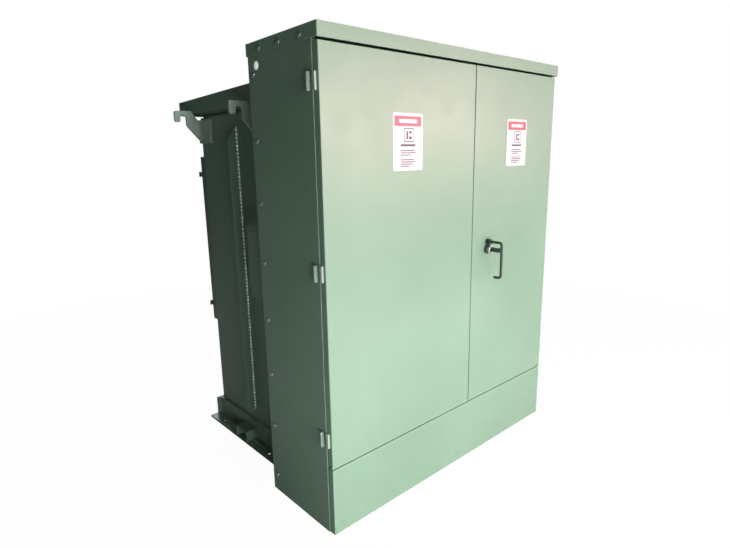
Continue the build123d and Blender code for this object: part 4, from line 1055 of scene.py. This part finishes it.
class DressHandle(bpy.types.Operator):
    """Bright lock collar on the handle's spindle"""

    bl_idname = "transformer.dress_handle"
    bl_label = "Handle collar"

    def execute(self, context):
        low, high = corners("handle_boss")
        start = ((low[0] + high[0]) / 2, low[1] - COLLAR_GAP, HANDLE_Z)
        collar = turned(COLLAR_PROFILE, start, -Y, COLLAR_SIDES)
        piece("spindle_collar", collar, "polished", "handle")
        return {"FINISHED"}


class TrimSides(bpy.types.Operator):
    """Rolled front edges of the cabinet's side sheets"""

    bl_idname = "transformer.trim_sides"
    bl_label = "Side sheet edges"

    def execute(self, context):
        low = corners("cabinet_side_left")[0]
        path = upright(low[0] + SHEET_MIDDLE, SHEET_FRONT, np.linspace(low[2] + EDGE_FOOT, EDGE_TOP, EDGE_STEPS))
        edge = carried(path, circle(EDGE_RADIUS, EDGE_RADIUS), X, Y)
        # The lighter enamel paints a highlight along the lit front edge
        piece("side_edges", mirrored(edge), "edge_paint")
        return {"FINISHED"}


class SeamFins(bpy.types.Operator):
    """Rolled seams along the rear edges of the radiator fins"""

    bl_idname = "transformer.seam_fins"
    bl_label = "Radiator seams"

    def execute(self, context):
        fins = [(low, high) for low, high in loose_boxes("radiator_fins") if high[2] - low[2] > FIN_LEAST_HEIGHT]
        middle = [(low[0] + high[0]) / 2 for low, high in fins]
        low, high = fins[0]
        path = upright(middle[0], high[1], np.linspace(low[2] + SEAM_STOP, high[2] - SEAM_STOP, SEAM_STEPS))
        swell = 1 + SEAM_SWELL * np.cos(np.linspace(0, 2 * np.pi * SEAM_SWELLS, SEAM_STEPS))
        seam = carried(path, circle(*SEAM_HALF)[None] * swell[:, None, None], X, Y)
        offsets = [(x - middle[0], 0, 0) for x in middle]
        piece("fin_seams", copies(seam, offsets), "weld_paint")
        return {"FINISHED"}


# Radius of the rounded bends, by node
EDGE_ROUNDS = {
    "front_sill": 0.0015, "hv_door_panel": 0.0012, "lv_door_panel": 0.0012, "weather_cover": 0.002,
    "side_box": 0.0015, "jacking_brackets": 0.0012, "tank_stiffeners": 0.0012, "base_band": 0.0012,
}
WELD_REACH = 2e-5
BEND_SEGMENTS = 2
BEND_LEAST_ANGLE = np.radians(50)


class RoundEdges(bpy.types.Operator):
    """Small rounded bends on the sheets and plates, as a pressed or ground edge has"""

    bl_idname = "transformer.round_edges"
    bl_label = "Rounded edges"

    def execute(self, context):
        for node, width in EDGE_ROUNDS.items():
            made = NODES[node]
            weld = made.modifiers.new("weld", "WELD")
            weld.merge_threshold = WELD_REACH
            bevel = made.modifiers.new("edge", "BEVEL")
            bevel.width = width
            bevel.segments = BEND_SEGMENTS
            bevel.limit_method = "ANGLE"
            bevel.angle_limit = BEND_LEAST_ANGLE
            bevel.use_clamp_overlap = True
            bevel.harden_normals = False
        return {"FINISHED"}


# Studio ------------
# Place, aim, size and colour of each light, and whether it shows in reflections
LIGHTS = {
    "warm": ((2.45, -4.9, 1.82), (0.0, -0.8, 1.5), (4.4, 1.15), (1.0, 0.60, 0.60), True),
    "key": ((-1.55, -8.1, 2.2), (-0.5, -0.6, 1.3), (1.2, 2.5), (0.98, 1.0, 0.97), True),
    "top": ((0.4, 0.3, 4.6), (0.2, 0.1, 1.7), (3.0, 3.0), (1.0, 1.0, 1.0), False),
    "low": ((-0.2, -2.6, 0.25), (-0.1, -0.8, 0.3), (3.8, 0.7), (0.95, 1.0, 0.98), False),
    "rear": ((2.2, 4.4, 2.6), (0.0, 0.3, 0.9), (3.4, 2.6), (0.97, 0.99, 1.0), True),
}
SENSOR = 36.0
CLIP_START = 0.05
CAMERA_PLACE = (-1.72861, -2.14276, 1.37770)
CAMERA_FORWARD = (0.64775135, 0.72976716, -0.21876491)
CAMERA_RIGHT = (0.7449173, -0.66688693, -0.01897471)
FLOOR_RINGS = (0.0, 2.0, 4.0, 8.0, 14.0)
FLOOR_PAPER = (0.88, 0.88, 0.88)
FLOOR_BOUNCE = (0.36, 0.38, 0.37)
FLOOR_GLOW = 0.97
FLOOR_FADE = (1.4, 3.6)
WHITE = (1, 1, 1, 1)
SOFT_WHITE = (0.97, 1.0, 0.97, 1)
FRONT_WAY = (0.44, -0.895, 0.01)
FRONT_EDGE = (0.60, 0.78)


class SetStudio(bpy.types.Operator):
    """Makes the floor, the soft lights and the camera"""

    bl_idname = "transformer.set_studio"
    bl_label = "Studio"

    def execute(self, context):
        studio = context.scene.transformer_studio
        make_floor()
        make_world(studio.sky, studio.front)
        for name, (place, target, size, colour, shines) in LIGHTS.items():
            area_light(name, place, target, size, getattr(studio, name), colour).visible_glossy = shines
        make_camera(studio.lens)
        context.scene.view_settings.view_transform = "Standard"
        return {"FINISHED"}


def make_floor():
    """Pale round floor: a flat disc of rings, each a radius times the cosine and sine of the angle. To the camera it
    fades into the backdrop, and to the object it throws back less light."""
    angle = np.linspace(0, 2 * np.pi, ROUND_SIDES, endpoint=False)
    x, y = np.outer(FLOOR_RINGS, np.cos(angle)), np.outer(FLOOR_RINGS, np.sin(angle))
    points = np.stack([x, y, np.zeros(x.shape)], -1).reshape(-1, 3)
    faces = grid_faces(len(FLOOR_RINGS), ROUND_SIDES, wrap_columns=True)[:, ::-1]
    mesh = bpy.data.meshes.new("floor")
    mesh.from_pydata(points.tolist(), [], faces.tolist())
    floor = in_scene("floor", mesh)
    merge_doubles(floor)
    material, tree, shader = start_material("floor_paper", roughness=0.9)
    seen = add(tree, "ShaderNodeLightPath").outputs["Is Camera Ray"]
    tree.links.new(blend_colour(tree, seen, FLOOR_BOUNCE, FLOOR_PAPER), shader.inputs["Base Color"])
    coordinate = add(tree, "ShaderNodeTexCoord")
    length = add(tree, "ShaderNodeVectorMath", [(0, coordinate.outputs["Object"])], operation="LENGTH")
    far = span(tree, length.outputs["Value"], *FLOOR_FADE)
    far = calculate(tree, "MULTIPLY", calculate(tree, "MAXIMUM", far, FLOOR_GLOW), seen)
    glow = add(tree, "ShaderNodeEmission", Color=WHITE, Strength=1.0)
    mixed = add(tree, "ShaderNodeMixShader", [(0, far), (1, shader.outputs[0]), (2, glow.outputs[0])])
    tree.links.new(mixed.outputs[0], tree.nodes["Material Output"].inputs["Surface"])
    mesh.materials.append(material)


def make_world(ambient, front):
    """White surroundings whose light comes from a wide soft cap before the doors, and weakly from all round."""
    world = bpy.data.worlds.new("backdrop")
    world.use_nodes = True
    tree = world.node_tree
    tree.nodes.clear()
    way = add(tree, "ShaderNodeTexCoord").outputs["Generated"]
    facing = add(tree, "ShaderNodeVectorMath", [(0, way)], operation="DOT_PRODUCT")
    facing.inputs[1].default_value = Vector(FRONT_WAY).normalized()
    strength = span(tree, facing.outputs["Value"], *FRONT_EDGE, ambient, front)
    seen = add(tree, "ShaderNodeLightPath")
    pale = add(tree, "ShaderNodeBackground", Color=WHITE, Strength=1.0)
    soft = add(tree, "ShaderNodeBackground", [("Strength", strength)], Color=SOFT_WHITE)
    mixed = add(
        tree, "ShaderNodeMixShader", [(0, seen.outputs["Is Camera Ray"]), (1, soft.outputs[0]), (2, pale.outputs[0])],
    )
    output = add(tree, "ShaderNodeOutputWorld", [("Surface", mixed.outputs[0])])
    output.is_active_output = True
    bpy.context.scene.world = world


def area_light(name, where, target, size, power, colour):
    """Soft rectangular light that faces a point."""
    data = bpy.data.lights.new(name, "AREA")
    data.shape = "RECTANGLE"
    data.size, data.size_y = size
    data.energy = power
    data.color = colour
    light = in_scene(name, data)
    light.visible_camera = False
    light.location = where
    light.rotation_euler = (Vector(target) - Vector(where)).to_track_quat("-Z", "Y").to_euler()
    return light


def make_camera(lens):
    """Camera at standing height before the left corner, rolled about one degree."""
    forward, right = Vector(CAMERA_FORWARD).normalized(), Vector(CAMERA_RIGHT)
    right = (right - right.dot(forward) * forward).normalized()
    up = right.cross(forward)
    data = bpy.data.cameras.new("camera")
    data.sensor_width = SENSOR
    data.lens = lens
    data.clip_start = CLIP_START
    camera = in_scene("camera", data)
    turn = Matrix((right, up, -forward)).transposed()
    camera.matrix_world = Matrix.Translation(CAMERA_PLACE) @ turn.to_4x4()
    bpy.context.scene.camera = camera


# Running order ------------
STEPS = (
    PaintFrame, RoundEdges, WeldTank, FitFlangeBolts, PrintLabels, MarkNameplate, MarkGauges, SealDoors, DressHandle,
    TrimSides, SeamFins, SetStudio,
)


class TransformerPanel(bpy.types.Panel):
    """Lists the steps and the settings"""

    bl_idname = "VIEW3D_PT_transformer"
    bl_label = "Pad-mounted transformer"
    bl_space_type = "VIEW_3D"
    bl_region_type = "UI"
    bl_category = "Transformer"

    def draw(self, context):
        for step in STEPS:
            self.layout.operator(step.bl_idname)
        for group, settings in SETTINGS.items():
            box = self.layout.box()
            for name in settings.__annotations__:
                box.prop(getattr(context.scene, group), name)


SETTINGS = {
    "transformer_paint": PaintSettings,
    "transformer_welds": WeldSettings,
    "transformer_labels": LabelSettings,
    "transformer_studio": StudioSettings,
}


def register():
    """Registers the settings, the steps and the panel."""
    for group, settings in SETTINGS.items():
        bpy.utils.register_class(settings)
        setattr(bpy.types.Scene, group, PointerProperty(type=settings))
    for kind in (*STEPS, TransformerPanel):
        bpy.utils.register_class(kind)


def unregister():
    """Takes them all out again."""
    for kind in reversed((*STEPS, TransformerPanel)):
        bpy.utils.unregister_class(kind)
    for group, settings in SETTINGS.items():
        delattr(bpy.types.Scene, group)
        bpy.utils.unregister_class(settings)


def main():
    register()
    for step in STEPS:
        group, name = step.bl_idname.split(".")
        if getattr(getattr(bpy.ops, group), name)() != {"FINISHED"}:
            raise RuntimeError(f"{step.bl_label} didn't finish")


if __name__ == "__main__":
    main()
